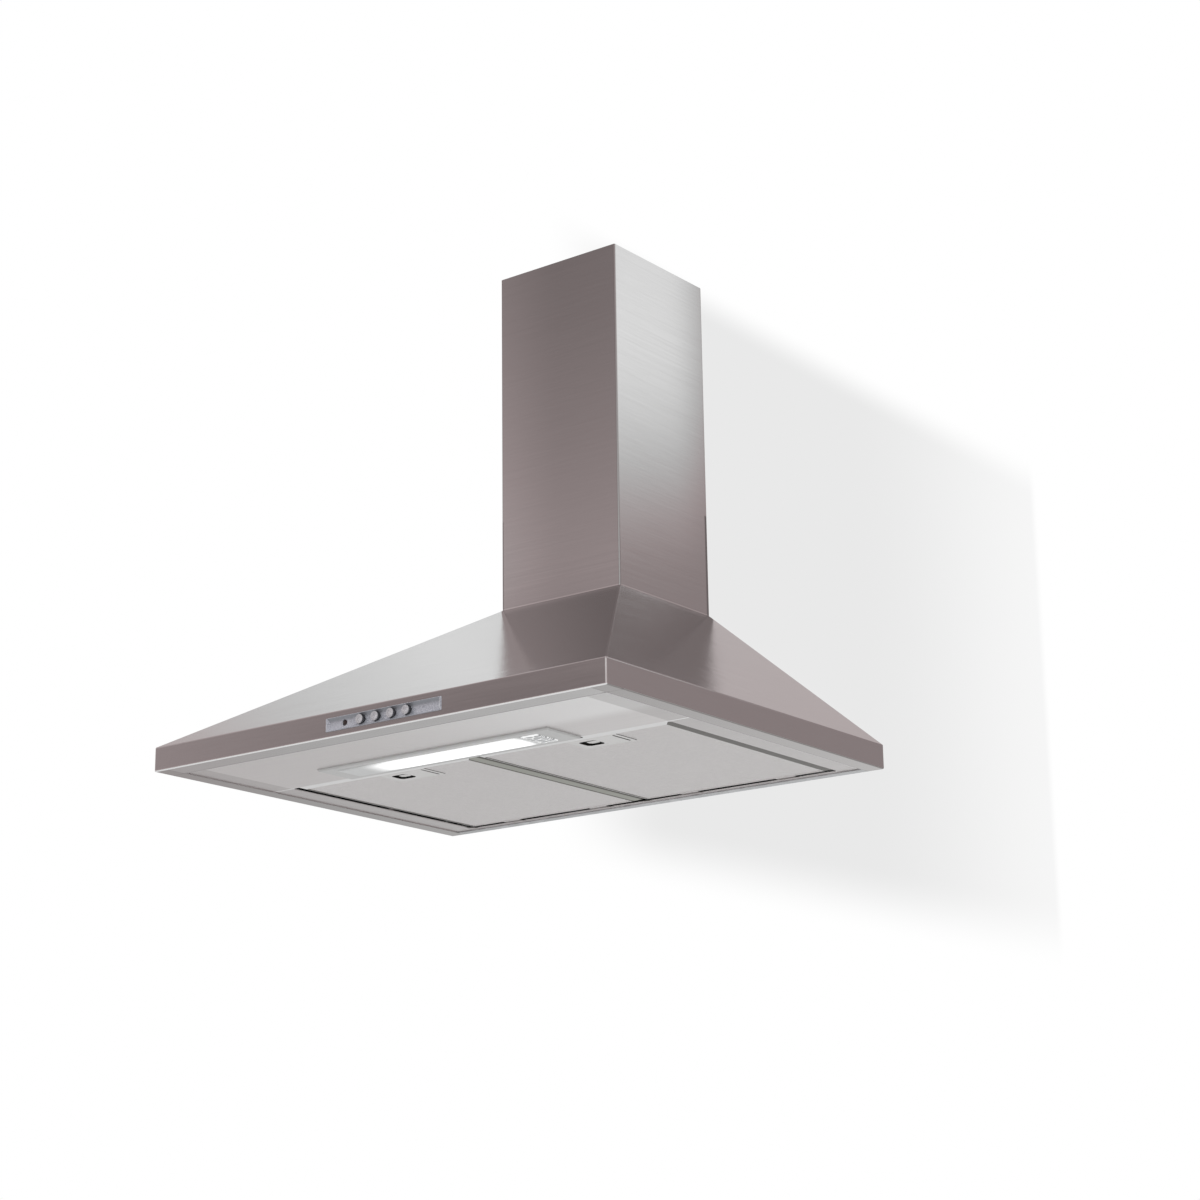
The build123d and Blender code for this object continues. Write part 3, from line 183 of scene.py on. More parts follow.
def sheetMetal(name, s):
    # zinc flowers: flat cells that differ in tone
    f = Finish(name)
    point = f.place()
    cells = f.node("TexVoronoi", None, {"Vector": point, "Scale": s["cells"]}, out=1)
    tone = f.axes(cells)[0]
    grain = f.noise(point, 900.0, 2.0)
    colour = f.mix(tone, s["dark"], s["light"])
    rough = s["rough"] + (tone - 0.5) * 0.16 + (grain - 0.5) * 0.08
    return f.give(Base_Color=colour, Metallic=0.9, Roughness=rough,
                  Normal=f.bump(grain, 0.00002))


def turnedMetal(name, s):
    f = Finish(name)
    point = f.place()
    lines = f.noise(f.spread(point, s["lines"]), detail=2.0)
    stain = f.noise(point, 60.0, 3.0)
    colour = f.mix(lines.fade(0.3, 0.7), s["dark"], s["light"])
    colour = f.mix(stain.fade(0.55, 0.8) * 0.35, colour, s["stain"])
    return f.give(Base_Color=colour, Metallic=1.0, Roughness=s["rough"] + (lines - 0.5) * 0.14,
                  Normal=f.bump(lines, 0.00001))


def mouldedPlastic(name, s):
    f = Finish(name)
    point = f.place()
    grain = f.noise(point, s["grain"], 2.0)
    cloud = f.noise(point, 14.0, 3.0)
    dust = f.noise(point, 160.0, 4.0).fade(0.56, 0.72)
    colour = f.mix(cloud, s["dark"], s["light"])
    colour = f.mix(dust * s["dust"], colour, s["dusty"])
    if "holeShade" in s:  # inside the finger hole, up to its roof, is painted black as shade
        z = f.axes(point)[2]
        inside = z.fade(s["holeShadeLevel"], s["holeShadeLevel"] + 0.0002) * (1.0 - z.fade(s["roof"] - 0.0006, s["roof"]))
        colour = f.mix(inside, colour, s["holeShade"])
    return f.give(Base_Color=colour, Roughness=s["rough"] + (grain - 0.5) * 0.12 + dust * 0.08,
                  Normal=f.bump(grain, s["depth"]))


# finishes, one for each of the record's slots
finishes = {}
hoodSize = dict(half=0.300, depth=0.486, foot=-0.150, rimTop=-0.124, seat=0.056,
                throatHalf=0.0825, throatDepth=0.169)
flanges = dict(side=(0.019, 0.020), front=(0.0262, 0.0270), sideSeam=0.0192, frontSeam=0.0258,
               mitreAside=0.2795, mitreFront=0.4605, thick=(0.0004, 0.0014))
# tones laid on the steel: white for painted highlights, grey for painted shade, a darker grey along the chimney's
# corners, and a near-black for dark joints and painted contact shadow
paintedHighlight, cornerDarkTone, paintedShade, jointDarkAndShade = (1.0, 1.0, 1.0), (0.36, 0.34, 0.335), (0.33, 0.31, 0.305), (0.20, 0.18, 0.18)


def foldDistances(x, y, z):
    # distances from the planes of the canopy: front, side, front slope, side slope
    h = hoodSize
    rise = h["seat"] - h["rimTop"]
    frontRun, sideRun = h["depth"] - h["throatDepth"], h["half"] - h["throatHalf"]
    frontFace = y + h["depth"]
    sideFace = h["half"] - abs(x)
    frontSlope = (frontFace * rise - (z - h["rimTop"]) * frontRun) / math.hypot(rise, frontRun)
    sideSlope = (sideFace * rise - (z - h["rimTop"]) * sideRun) / math.hypot(rise, sideRun)
    return frontFace, sideFace, frontSlope, sideSlope


def canopyLines(x, y, z):
    # the folds carry painted highlights, the flanges painted shade, and the chimney's seat a dark line that is
    # partly painted contact shadow; the seams and the mitre slit are dark joints
    s = flanges
    frontFace, sideFace, frontSlope, sideSlope = foldDistances(x, y, z)
    hip = 1.0 - abs(frontSlope).larger(abs(sideSlope)).fade(0.0006, 0.0016)
    rimFold = 1.0 - abs(z - hoodSize["rimTop"]).fade(0.0005, 0.0014)
    corner = 1.0 - abs(frontFace).larger(abs(sideFace)).fade(0.0006, 0.0018)
    seat = 1.0 - abs(z - hoodSize["seat"]).fade(0.0008, 0.0022)
    lowerFold = 1.0 - (z - hoodSize["foot"]).larger(frontFace).fade(0.0012, 0.0022)
    underneath = 1.0 - (z - hoodSize["foot"]).fade(*s["thick"])
    sideFlange = underneath * (1.0 - sideFace.fade(*s["side"]))
    frontFlange = underneath * (1.0 - frontFace.fade(*s["front"]))
    fromSeam = abs(frontFace - s["frontSeam"]).smaller(abs(sideFace - s["sideSeam"]))
    seams = underneath * (1.0 - fromSeam.fade(0.0004, 0.0010))
    fromMitre = (abs(abs(x) - s["mitreAside"]) / 4.0).larger(abs(y + s["mitreFront"]))
    mitre = underneath * (1.0 - fromMitre.fade(0.0010, 0.0014))
    return [(sideFlange, paintedShade, 1.0), (frontFlange, paintedShade, 0.6), (seams, jointDarkAndShade, 0.75), (mitre, jointDarkAndShade, 1.0),
            (hip, paintedHighlight, 0.7), (rimFold, paintedHighlight, 0.3), (corner, paintedHighlight, 0.9),
            (lowerFold, paintedHighlight, 1.0), (seat, jointDarkAndShade, 0.75)]


def chimneyLines(x, y, z):
    # a painted highlight along the foot, and darker along the corners
    foot = 1.0 - abs(z - hoodSize["seat"]).fade(0.0010, 0.0020)
    fromFront, fromSide = abs(y + hoodSize["throatDepth"]), abs(abs(x) - hoodSize["throatHalf"])
    corner = 1.0 - fromFront.larger(fromSide).fade(0.0016, 0.0024)
    return [(foot, paintedHighlight, 0.6), (corner, cornerDarkTone, 0.6)]


panelEdges = dict(opening=0.3240, sides=(0.2535, 0.2545), paintedLight=(-0.08, 0.27), paintedLightTo=0.40)


def panelLines(x, y, z):
    # painted highlight along the sheet's edge at the filters' opening, painted light on the margin towards the
    # right, and painted shade beyond the opening's sides
    s = panelEdges
    front = 1.0 - abs(y + s["opening"]).fade(0.0006, 0.0016)
    sides = abs(x).fade(*s["sides"])
    paintedLight = x.fade(*s["paintedLight"]) * (1.0 - (y + s["paintedLightTo"]).fade(0.0, 0.03))
    return [(paintedLight, paintedHighlight, 0.6), (sides, paintedShade, 0.4), (front, paintedHighlight, 0.9)]


hoodSteel = dict(dark=(0.66, 0.66, 0.66), light=(0.74, 0.74, 0.74), veil=(0.685, 0.685, 0.685), cloud=0.2,
                 streak=0.25, rough=0.10, fan=0.03, bow=0.0, lean=-0.06, slopeFan=0.20, across=(0, 0, 1),
                 grooves=(20, 20, 14000), marks=(3, 3, 420))
finishes["canopySteel"] = brushedSteel("canopySteel", dict(hoodSteel, lines=canopyLines))
finishes["chimneySteel"] = brushedSteel("chimneySteel", dict(
    hoodSteel, fan=0.008, bow=0.36, streak=0.08, lines=chimneyLines))
finishes["panelSteel"] = brushedSteel("panelSteel", dict(
    hoodSteel, dark=(0.68, 0.655, 0.65), light=(0.76, 0.735, 0.73), veil=(0.71, 0.685, 0.68),
    grooves=(14, 14000, 14), marks=(3, 420, 3), across=(0, 1, 0), fan=0.12, rough=0.3, lines=panelLines))

zincTones = dict(dark=(0.46, 0.47, 0.48), light=(0.66, 0.67, 0.68), cells=90.0, rough=0.42)
finishes["galvanised_sheet"] = sheetMetal("galvanisedSheet", zincTones)
finishes["zinc_steel"] = turnedMetal("zincSteel", dict(
    dark=(0.52, 0.52, 0.50), light=(0.72, 0.72, 0.70), stain=(0.62, 0.56, 0.42),
    lines=(900, 900, 900), rough=0.34))
finishes["shaft_steel"] = turnedMetal("shaftSteel", dict(
    dark=(0.50, 0.50, 0.50), light=(0.70, 0.70, 0.70), stain=(0.46, 0.44, 0.40),
    lines=(4200, 40, 40), rough=0.24))
finishes["spring_steel"] = turnedMetal("springSteel", dict(
    dark=(0.44, 0.44, 0.45), light=(0.64, 0.64, 0.65), stain=(0.40, 0.38, 0.34),
    lines=(300, 300, 3000), rough=0.3))
finishes["bronze"] = turnedMetal("bushBronze", dict(
    dark=(0.48, 0.31, 0.14), light=(0.66, 0.46, 0.24), stain=(0.30, 0.20, 0.10),
    lines=(1500, 1500, 1500), rough=0.46))
finishes["black_plastic"] = mouldedPlastic("blackPlastic", dict(
    dark=(0.028, 0.028, 0.030), light=(0.050, 0.050, 0.052), dusty=(0.13, 0.12, 0.11), dust=0.3, grain=1800.0,
    rough=0.46, depth=0.00004))
finishes["grey_plastic"] = mouldedPlastic("greyPlastic", dict(
    dark=(0.17, 0.175, 0.18), light=(0.22, 0.225, 0.23), dusty=(0.32, 0.31, 0.29), dust=0.3, grain=1600.0,
    rough=0.5, depth=0.00004))
finishes["white_plastic"] = mouldedPlastic("whitePlastic", dict(
    dark=(0.70, 0.70, 0.67), light=(0.78, 0.78, 0.75), dusty=(0.60, 0.58, 0.52), dust=0.2, grain=1500.0,
    rough=0.42, depth=0.00003))
finishes["white_sheet"] = mouldedPlastic("whiteEnamel", dict(
    dark=(0.74, 0.74, 0.73), light=(0.80, 0.80, 0.79), dusty=(0.68, 0.66, 0.60), dust=0.2, grain=500.0,
    rough=0.26, depth=0.00005))
finishes["black_rubber"] = mouldedPlastic("blackRubber", dict(
    dark=(0.016, 0.016, 0.017), light=(0.034, 0.034, 0.035), dusty=(0.12, 0.115, 0.11), dust=0.45, grain=2400.0,
    rough=0.72, depth=0.00005))
# the finger hole's inside is painted near-black as shade
handleTones = dict(dark=(0.70, 0.69, 0.68), light=(0.80, 0.79, 0.78), dusty=(0.52, 0.51, 0.48), dust=0.25,
                   grain=1700.0, rough=0.4, depth=0.00003, holeShade=(0.012, 0.011, 0.010),
                   holeShadeLevel=-0.14898, roof=-0.1412)
finishes["handle_plastic"] = mouldedPlastic("handlePlastic", handleTones)
finishes["lamp_frame"] = mouldedPlastic("lampTrim", dict(
    dark=(0.55, 0.55, 0.545), light=(0.62, 0.62, 0.615), dusty=(0.5, 0.5, 0.48), dust=0.15, grain=1700.0,
    rough=0.3, depth=0.00002))
finishes["lamp_glass"] = mouldedPlastic("coatedTube", dict(
    dark=(0.84, 0.85, 0.86), light=(0.90, 0.91, 0.92), dusty=(0.80, 0.80, 0.80), dust=0.2, grain=700.0,
    rough=0.18, depth=0.00002))


def filterFrame(s):
    f = Finish("filterFrame")
    point = f.place()
    rolled = f.noise(f.spread(point, (40, 40, 2600)), detail=2.0)
    cloud = f.noise(point, 9.0, 3.0)
    grease = f.noise(point, 70.0, 4.0).fade(0.55, 0.75)
    facing = f.axes(f.node("TexCoord", out="Normal"))
    x = f.axes(point)[0]
    fromEdge = abs(x - s["leftEdge"]).smaller(abs(x - s["rightEdge"]))
    seam = (1.0 - fromEdge.fade(0.0012, 0.0024)).larger(fromEdge.fade(0.0072, 0.0086))
    outer = x.fade(0.1, 0.11)
    colour = f.mix(rolled.fade(0.3, 0.7), s["dark"], s["light"])
    colour = f.mix(grease * 0.25, colour, s["grease"])
    # faces turned to +X are painted darker as shade, and near-black as painted shadow where the seam mask or the
    # outer frame holds; faces turned to the front get a painted highlight
    sloped = facing[0].fade(0.1, 0.25)
    colour = f.mix(sloped * (1.0 - outer) * s["sideShadeAmount"], colour, s["paintedSideShade"])
    colour = f.mix(sloped * seam.larger(outer) * 0.85, colour, s["paintedGapShadow"])
    colour = f.mix((-facing[1]).fade(0.1, 0.25) * s["frontHighlightAmount"], colour, s["rubAndHighlight"])
    return f.give(Base_Color=colour, Metallic=0.85, Roughness=0.30 + (cloud - 0.5) * 0.14 + grease * 0.06,
                  Normal=f.bump(rolled, 0.00002))


def filterMesh(s):
    # expanded metal: rows of lozenges, every second row half a step along
    f = Finish("filterMesh")
    point = f.place()
    x, y, z = f.axes(point)
    u, v = x / s["across"], y / s["along"]
    lozenge = abs(u.pingPong(0.5) - 0.25) + abs(v.pingPong(0.5) - 0.25)
    strand = 1.0 - abs(lozenge - 0.25).fade(0.03, 0.10)
    lower = f.noise(f.spread(point, (260, 420, 260)), detail=3.0)
    cloud = f.noise(point, 6.0, 3.0)
    speck = f.noise(point, 620.0, 2.0)
    colour = f.mix(strand * 0.5 + lower * 0.5, s["gap"], s["strand"])
    colour = f.mix(cloud.fade(0.4, 0.8) * 0.3, colour, s["cloud"])
    colour = f.mix(speck.fade(0.6, 0.8) * 0.4, colour, s["glint"])
    return f.give(Base_Color=colour, Metallic=0.35, Roughness=0.46 + (speck - 0.5) * 0.2,
                  Normal=f.bump(strand + lower * 0.4, 0.00015))


finishes["filter_aluminium"] = filterFrame(dict(
    dark=(0.66, 0.645, 0.64), light=(0.76, 0.745, 0.74), grease=(0.52, 0.505, 0.47), paintedSideShade=(0.30, 0.31, 0.26),
    paintedGapShadow=(0.085, 0.08, 0.07), leftEdge=-0.0006, rightEdge=0.2528, sideShadeAmount=0.75, rubAndHighlight=(0.95, 0.95, 0.95),
    frontHighlightAmount=0.8))
finishes["filter_mesh"] = filterMesh(dict(
    across=0.0046, along=0.0024, gap=(0.60, 0.58, 0.575), strand=(0.92, 0.895, 0.89), cloud=(0.70, 0.67, 0.665),
    glint=(0.92, 0.92, 0.92)))


def satinSilver(name, s):
    f = Finish(name)
    point = f.place()
    flake = f.noise(point, 900.0, 3.0)
    rub = f.noise(f.spread(point, (25, 160, 160)), detail=4.0)
    facingX, facingY, facingZ = f.axes(f.node("TexCoord", out="Normal"))
    colour = f.mix(flake.fade(0.25, 0.75), s["dark"], s["light"])
    colour = f.mix(rub.fade(0.5, 0.8) * 0.25, colour, s["rubAndHighlight"])
    # faces turned down and faces not turned to the front are painted darker as shade; faces turned to -X are
    # painted white as a highlight, with less metal
    colour = f.mix((-facingZ).fade(0.1, 0.5) * s["overhang"], colour, s["shaded"])
    colour = f.mix((1.0 + facingY).fade(0.45, 0.9) * s["sides"], colour, s["shaded"])
    endHighlight = (-facingX).fade(0.3, 0.6) * s["ends"]
    colour = f.mix(endHighlight, colour, s["endHighlight"])
    rough = s["rough"] + (flake - 0.5) * 0.14
    return f.give(Base_Color=colour, Metallic=s["metallic"] * (1.0 - endHighlight), Roughness=rough,
                  Normal=f.bump(flake, 0.00002))


finishes["satin_silver"] = satinSilver("satinSilver", dict(
    dark=(0.34, 0.355, 0.41), light=(0.74, 0.76, 0.82), rubAndHighlight=(0.62, 0.63, 0.68), shaded=(0.26, 0.265, 0.29),
    endHighlight=(1.0, 1.0, 1.0), overhang=0.85, sides=0.0, ends=1.0, metallic=0.45, rough=0.32))
finishes["button_silver"] = satinSilver("buttonSilver", dict(
    dark=(0.56, 0.57, 0.61), light=(0.84, 0.85, 0.88), rubAndHighlight=(0.66, 0.66, 0.68), shaded=(0.03, 0.03, 0.035),
    endHighlight=(0.9, 0.9, 0.9), overhang=0.0, sides=0.95, ends=0.0, metallic=0.6, rough=0.26))


def pilotLens():
    f = Finish("pilotLens")
    point = f.place()
    swirl = f.noise(point, 900.0, 2.0)
    colour = f.mix(swirl, (0.010, 0.006, 0.006), (0.030, 0.012, 0.012))
    return f.give(Base_Color=colour, Roughness=0.16 + swirl * 0.08, Coat_Weight=0.6)


finishes["pilot_dark"] = pilotLens()


def litDiffuser(s):
    # the tube behind it glows along the middle; the far end is prismatic, unlit and clear, and its prism facets and
    # rim glow faintly as painted highlights
    f = Finish("litDiffuser")
    point = f.place()
    x, y, z = f.axes(point)
    ribs = (x * s["ribs"]).sine() * 0.5 + 0.5
    cross = abs(y + s["middle"]) / s["halfWidth"]
    glow = x.fade(*s["leftFade"]) * (1.0 - x.fade(*s["rightFade"])) * (1.0 - cross.fade(0.45, 1.1) * 0.6)
    frost = f.noise(point, 900.0, 2.0)
    prisms = f.node("TexVoronoi", {"feature": "DISTANCE_TO_EDGE"},
                    {"Vector": f.spread(point, (1, 2, 1)), "Scale": s["prisms"]})
    clear = x.fade(*s["clearFrom"])
    rim = (abs(x - s["clearMiddle"]) / s["clearHalf"]).larger(cross * 0.98).fade(0.84, 0.95)
    facets = (1.0 - prisms.fade(0.02, 0.12)).larger(rim)
    colour = f.mix(ribs * 0.5 + frost * 0.5, s["dark"], s["light"])
    colour = f.mix(clear * (1.0 - facets) * 0.75, colour, s["clear"])
    glowAndHighlights = f.mix(glow.larger(clear * facets * 0.4), s["dimGlow"], (1.0, 1.0, 1.0))
    return f.give(Base_Color=colour, Roughness=0.26 + frost * 0.1, Emission_Color=glowAndHighlights,
                  Emission_Strength=1.4, Normal=f.bump(ribs + facets * clear * 2.0, 0.0002))


finishes["diffuser"] = litDiffuser(dict(
    middle=0.353, halfWidth=0.017, ribs=2100.0, leftFade=(-0.118, -0.062), rightFade=(0.090, 0.106),
    clearFrom=(0.104, 0.108), clearMiddle=0.1165, clearHalf=0.0125, prisms=95.0, dark=(0.56, 0.57, 0.57),
    light=(0.72, 0.73, 0.73), clear=(0.36, 0.37, 0.38), dimGlow=(0.03, 0.03, 0.03)))
print("finishes made:", len(finishes))

# the CAD pieces keep their shape and get these finishes, by the slot each came with
special = dict(canopy_shell="canopySteel", lower_chimney="chimneySteel", upper_chimney="chimneySteel",
               underside_panel="panelSteel")
for name, node in nodes.items():
    slotName = special.get(name) or node.material_slots[0].material.name.split(".")[0]
    node.material_slots[0].material = finishes[slotName]
print("CAD pieces finished")


# pieces made here in place of plainer solids
def linked(name, mesh):
    data = bpy.data.meshes.new(name)
    mesh.to_mesh(data)
    mesh.free()
    made = bpy.data.objects.new(name, data)
    scene.collection.objects.link(made)
    return made


def makePiece(name, mesh, finish, body, replaced):
    piece = linked(name, mesh)
    piece.data.materials.append(finishes[finish])
    for face in piece.data.polygons:
        face.use_smooth = True
    piece.data.set_sharp_from_angle(angle=math.radians(34))
    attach(piece, body)
    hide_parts(replaced)


def box(size, centre=(0, 0, 0)):
    mesh = bmesh.new()
    bmesh.ops.create_cube(mesh, size=1.0)
    bmesh.ops.scale(mesh, verts=mesh.verts, vec=size)
    bmesh.ops.translate(mesh, verts=mesh.verts, vec=centre)
    return mesh


def turnMesh(mesh, angle, axis):
    bmesh.ops.rotate(mesh, verts=mesh.verts, cent=(0, 0, 0), matrix=Matrix.Rotation(angle, 3, axis))


def spun(mesh, centre, axis, steps):
    # what the mesh holds goes once round, and is closed
    bmesh.ops.spin(mesh, geom=mesh.verts[:] + mesh.edges[:], cent=centre, axis=axis, angle=2 * math.pi, steps=steps,
                   use_merge=True, use_duplicate=False)
    bmesh.ops.remove_doubles(mesh, verts=mesh.verts, dist=0.000005)
    bmesh.ops.recalc_face_normals(mesh, faces=mesh.faces)
    return mesh


def turned(profile, axis, centre, steps=48):
    # a profile of (radius, along) pairs spun round an axis through the centre
    mesh = bmesh.new()
    across = Vector((0, 0, 1)) if axis != "Z" else Vector((1, 0, 0))
    ahead = {"X": Vector((1, 0, 0)), "Y": Vector((0, 1, 0)), "Z": Vector((0, 0, 1))}[axis]
    verts = [mesh.verts.new(Vector(centre) + across * radius + ahead * along) for radius, along in profile]
    for pair in zip(verts, verts[1:]):
        mesh.edges.new(pair)
    return spun(mesh, centre, ahead, steps)


def addMesh(mesh, other):
    data = bpy.data.meshes.new("joined")
    other.to_mesh(data)
    other.free()
    mesh.from_mesh(data)
    bpy.data.meshes.remove(data)


def carved(mesh, cutters):
    # Boolean differences, evaluated and kept as plain mesh
    blank = linked("blank", mesh)
    spent = []
    for cutter in cutters:
        tool = linked("cutter", cutter)
        modifier = blank.modifiers.new("cut", "BOOLEAN")
        modifier.operation, modifier.solver, modifier.object = "DIFFERENCE", "EXACT", tool
        spent.append(tool)
    shaped = blank.evaluated_get(bpy.context.evaluated_depsgraph_get()).to_mesh()
    result = bmesh.new()
    result.from_mesh(shaped)
    for tool in [blank] + spent:
        data = tool.data
        bpy.data.objects.remove(tool)
        bpy.data.meshes.remove(data)
    return result


# control fascia: hollowed along its length, its ends at a slant
fascia = dict(middle=0.025, height=-0.137, length=0.152, width=0.014, front=-0.4868, rear=-0.4788,
              hollow=0.00918, hollowDepth=0.0026, floorLength=0.1435, slant=1.0, edge=0.0004,
              buttons=(-0.0045, 0.0158, 0.0361, 0.0564), hole=0.00505, pilot=-0.027, pilotHole=0.0032)


def rod(s, x, radius, segments=48):
    mesh = bmesh.new()
    bmesh.ops.create_cone(mesh, cap_ends=True, segments=segments, radius1=radius, radius2=radius, depth=0.03)
    turnMesh(mesh, math.pi / 2, "X")
    bmesh.ops.translate(mesh, verts=mesh.verts, vec=(x, s["front"], s["height"]))
    return mesh


def makeFascia(s):
    mesh = box((s["length"], s["rear"] - s["front"], s["width"]),
               (s["middle"], (s["front"] + s["rear"]) / 2, s["height"]))
    frontEdges = [edge for edge in mesh.edges if all(vert.co.y < s["front"] + 1e-5 for vert in edge.verts)]
    bmesh.ops.bevel(mesh, geom=frontEdges, offset=s["edge"], segments=2, profile=0.5, affect="EDGES",
                    material=-1)
    hollow = bmesh.new()
    bmesh.ops.create_cone(hollow, cap_ends=True, segments=160, radius1=s["hollow"], radius2=s["hollow"],
                          depth=s["floorLength"])
    turnMesh(hollow, math.pi / 2, "Y")
    for side in (-1, 1):
        lean = Matrix.Identity(4)
        lean[0][1] = -side * s["slant"]
        end = [vert for vert in hollow.verts if vert.co.x * side > 0]
        bmesh.ops.transform(hollow, verts=end, matrix=lean, space=Matrix.Translation((0, -s["hollow"], 0)))
    bmesh.ops.translate(hollow, verts=hollow.verts,
                        vec=(s["middle"], s["front"] + s["hollowDepth"] - s["hollow"], s["height"]))
    holes = [rod(s, x, s["hole"]) for x in s["buttons"]] + [rod(s, s["pilot"], s["pilotHole"], 32)]
    makePiece("hollowFascia", carved(mesh, [hollow] + holes), "satin_silver", "hood", "control_fascia")


makeFascia(fascia)

# push buttons: a dished face, a small round edge, and the square stem behind
button = dict(radius=0.0048, face=-0.4888, back=-0.48205, dish=0.00035, edge=0.0006,
              stem=0.002, stemEnd=-0.4729)


def makeButton(s, panel, name, x):
    r, e, face, dish = s["radius"], s["edge"], s["face"], s["dish"]
    profile = [(0, face + dish), (r * 0.35, face + dish * 0.85), (r * 0.62, face + dish * 0.5), (r * 0.80, face),
               (r - e, face), (r - e * 0.3, face + e * 0.3), (r, face + e), (r, s["back"]), (0, s["back"])]
    mesh = turned(profile, "Y", (x, 0, panel["height"]))
    addMesh(mesh, box((2 * s["stem"], s["stemEnd"] - s["back"], 2 * s["stem"]),
                      (x, (s["back"] + s["stemEnd"]) / 2, panel["height"])))
    makePiece(name + "Cap", mesh, "button_silver", name, name)


for index, x in enumerate(fascia["buttons"]):
    makeButton(button, fascia, "button_" + str(index + 1), x)

# pilot light: a dark domed lens
pilot = dict(radius=0.0031, face=-0.4850, back=-0.4790)


def makePilot(s, panel):
    r, face = s["radius"], s["face"]
    profile = [(0, face), (r * 0.4, face + 0.0001), (r * 0.75, face + 0.0005), (r * 0.95, face + 0.0011),
               (r, face + 0.0017), (r, s["back"]), (0, s["back"])]
    makePiece("pilotDome", turned(profile, "Y", (panel["pilot"], 0, panel["height"]), 32), "pilot_dark", "hood",
              "pilot_lens")


makePilot(pilot, fascia)
print("controls made")

# pan-head screws with a cross recess, in the place of the plain ones
screw = dict(head=0.0039, headHeight=0.0021, shank=0.0019, recess=(0.0042, 0.0009), recessDepth=0.0012)
screwSets = dict(
    motor_screws=dict(axis=(1, 0, 0), reach=0.0070, seats=[
        (-0.0760, -0.1735, -0.0770), (-0.0760, -0.0695, -0.0770), (-0.0760, -0.1215, 0.0130)]),
    collar_screws=dict(axis=(0, 0, -1), reach=0.0065, seats=[
        (side * 0.040, y, 0.0600) for side in (-1, 1) for y in (-0.0235, -0.1455)]),
    bracket_screws=dict(body="upper_chimney", reach=0.0022, seats=[  # no axis: each points outwards
        (-0.0790, -0.040, 0.420), (0.0790, -0.040, 0.420)]),
    chimney_screws=dict(axis=(0, 0, 1), reach=0.0028, seats=[
        (0.0780, -0.0845, 0.0550), (-0.0780, -0.0845, 0.0550)]))


def screwMesh(s, seat, way, reach):
    # built along +Z: the head below the seat's plane, the shank above it, then turned to lie along the way
    r, high, shank = s["head"], s["headHeight"], s["shank"]
    profile = [(0, -high), (r * 0.55, -high), (r * 0.86, -high * 0.72), (r, -high * 0.28), (r, 0), (shank, 0),
               (shank, reach), (0, reach)]
    bars = []
    for angle in (0, math.pi / 2):
        bar = box((s["recess"][0], s["recess"][1], 2 * s["recessDepth"]))
        turnMesh(bar, angle, "Z")
        bmesh.ops.translate(bar, verts=bar.verts, vec=(0, 0, -high))
        bars.append(bar)
    mesh = carved(turned(profile, "Z", (0, 0, 0), 24), bars)
    turn = Vector((0, 0, 1)).rotation_difference(Vector(way)).to_matrix()
    bmesh.ops.rotate(mesh, verts=mesh.verts, cent=(0, 0, 0), matrix=turn)
    bmesh.ops.translate(mesh, verts=mesh.verts, vec=seat)
    return mesh


for name, s in screwSets.items():
    mesh = bmesh.new()
    for seat in s["seats"]:
        way = s.get("axis") or (math.copysign(1, seat[0]), 0, 0)
        addMesh(mesh, screwMesh(screw, seat, way, s["reach"]))
    makePiece("cross_" + name, mesh, "zinc_steel", s.get("body", "hood"), name)

# inlet guard: rings and bars of round wire
guard = dict(axisY=-0.1215, axisZ=-0.0470, x=0.0720, wire=0.0010, rings=(0.0578, 0.0435, 0.0295, 0.0155), bars=8)


def wireRing(s, radius):
    mesh = bmesh.new()
    bmesh.ops.create_circle(mesh, segments=8, radius=s["wire"] * 0.98)
    bmesh.ops.translate(mesh, verts=mesh.verts, vec=(radius, 0, 0))
    turnMesh(mesh, math.pi / 2, "X")
    return spun(mesh, (0, 0, 0), (0, 0, 1), 64)


def makeGuard(s):
    mesh = bmesh.new()
    for radius in s["rings"]:
        addMesh(mesh, wireRing(s, radius))
    inner, outer = s["rings"][-1], s["rings"][0]
    for index in range(s["bars"]):
        bar = bmesh.new()
        bmesh.ops.create_cone(bar, cap_ends=True, segments=8, radius1=s["wire"] * 0.8, radius2=s["wire"] * 0.8,
                              depth=outer - inner)
        turnMesh(bar, math.pi / 2, "Y")
        bmesh.ops.translate(bar, verts=bar.verts, vec=((inner + outer) / 2, 0, 0))
        turnMesh(bar, 2 * math.pi * index / s["bars"], "Z")
        addMesh(mesh, bar)
    turnMesh(mesh, math.pi / 2, "Y")
    bmesh.ops.translate(mesh, verts=mesh.verts, vec=(s["x"], s["axisY"], s["axisZ"]))
    makePiece("wireGuard", mesh, "zinc_steel", "hood", "inlet_guard")


# fan wheel: forward-curved blades between two rings, a flat centre disc and a hub
wheel = dict(axisY=-0.1215, axisZ=-0.0470, radius=0.0595, root=0.0521, half=0.0618, ring=0.0015, disc=0.0016,
             blades=40, sheet=0.0005, sweep=9.0, bow=3.0, hub=0.0090, hubFrom=-0.0070, hubTo=0.0140, bore=0.0041)


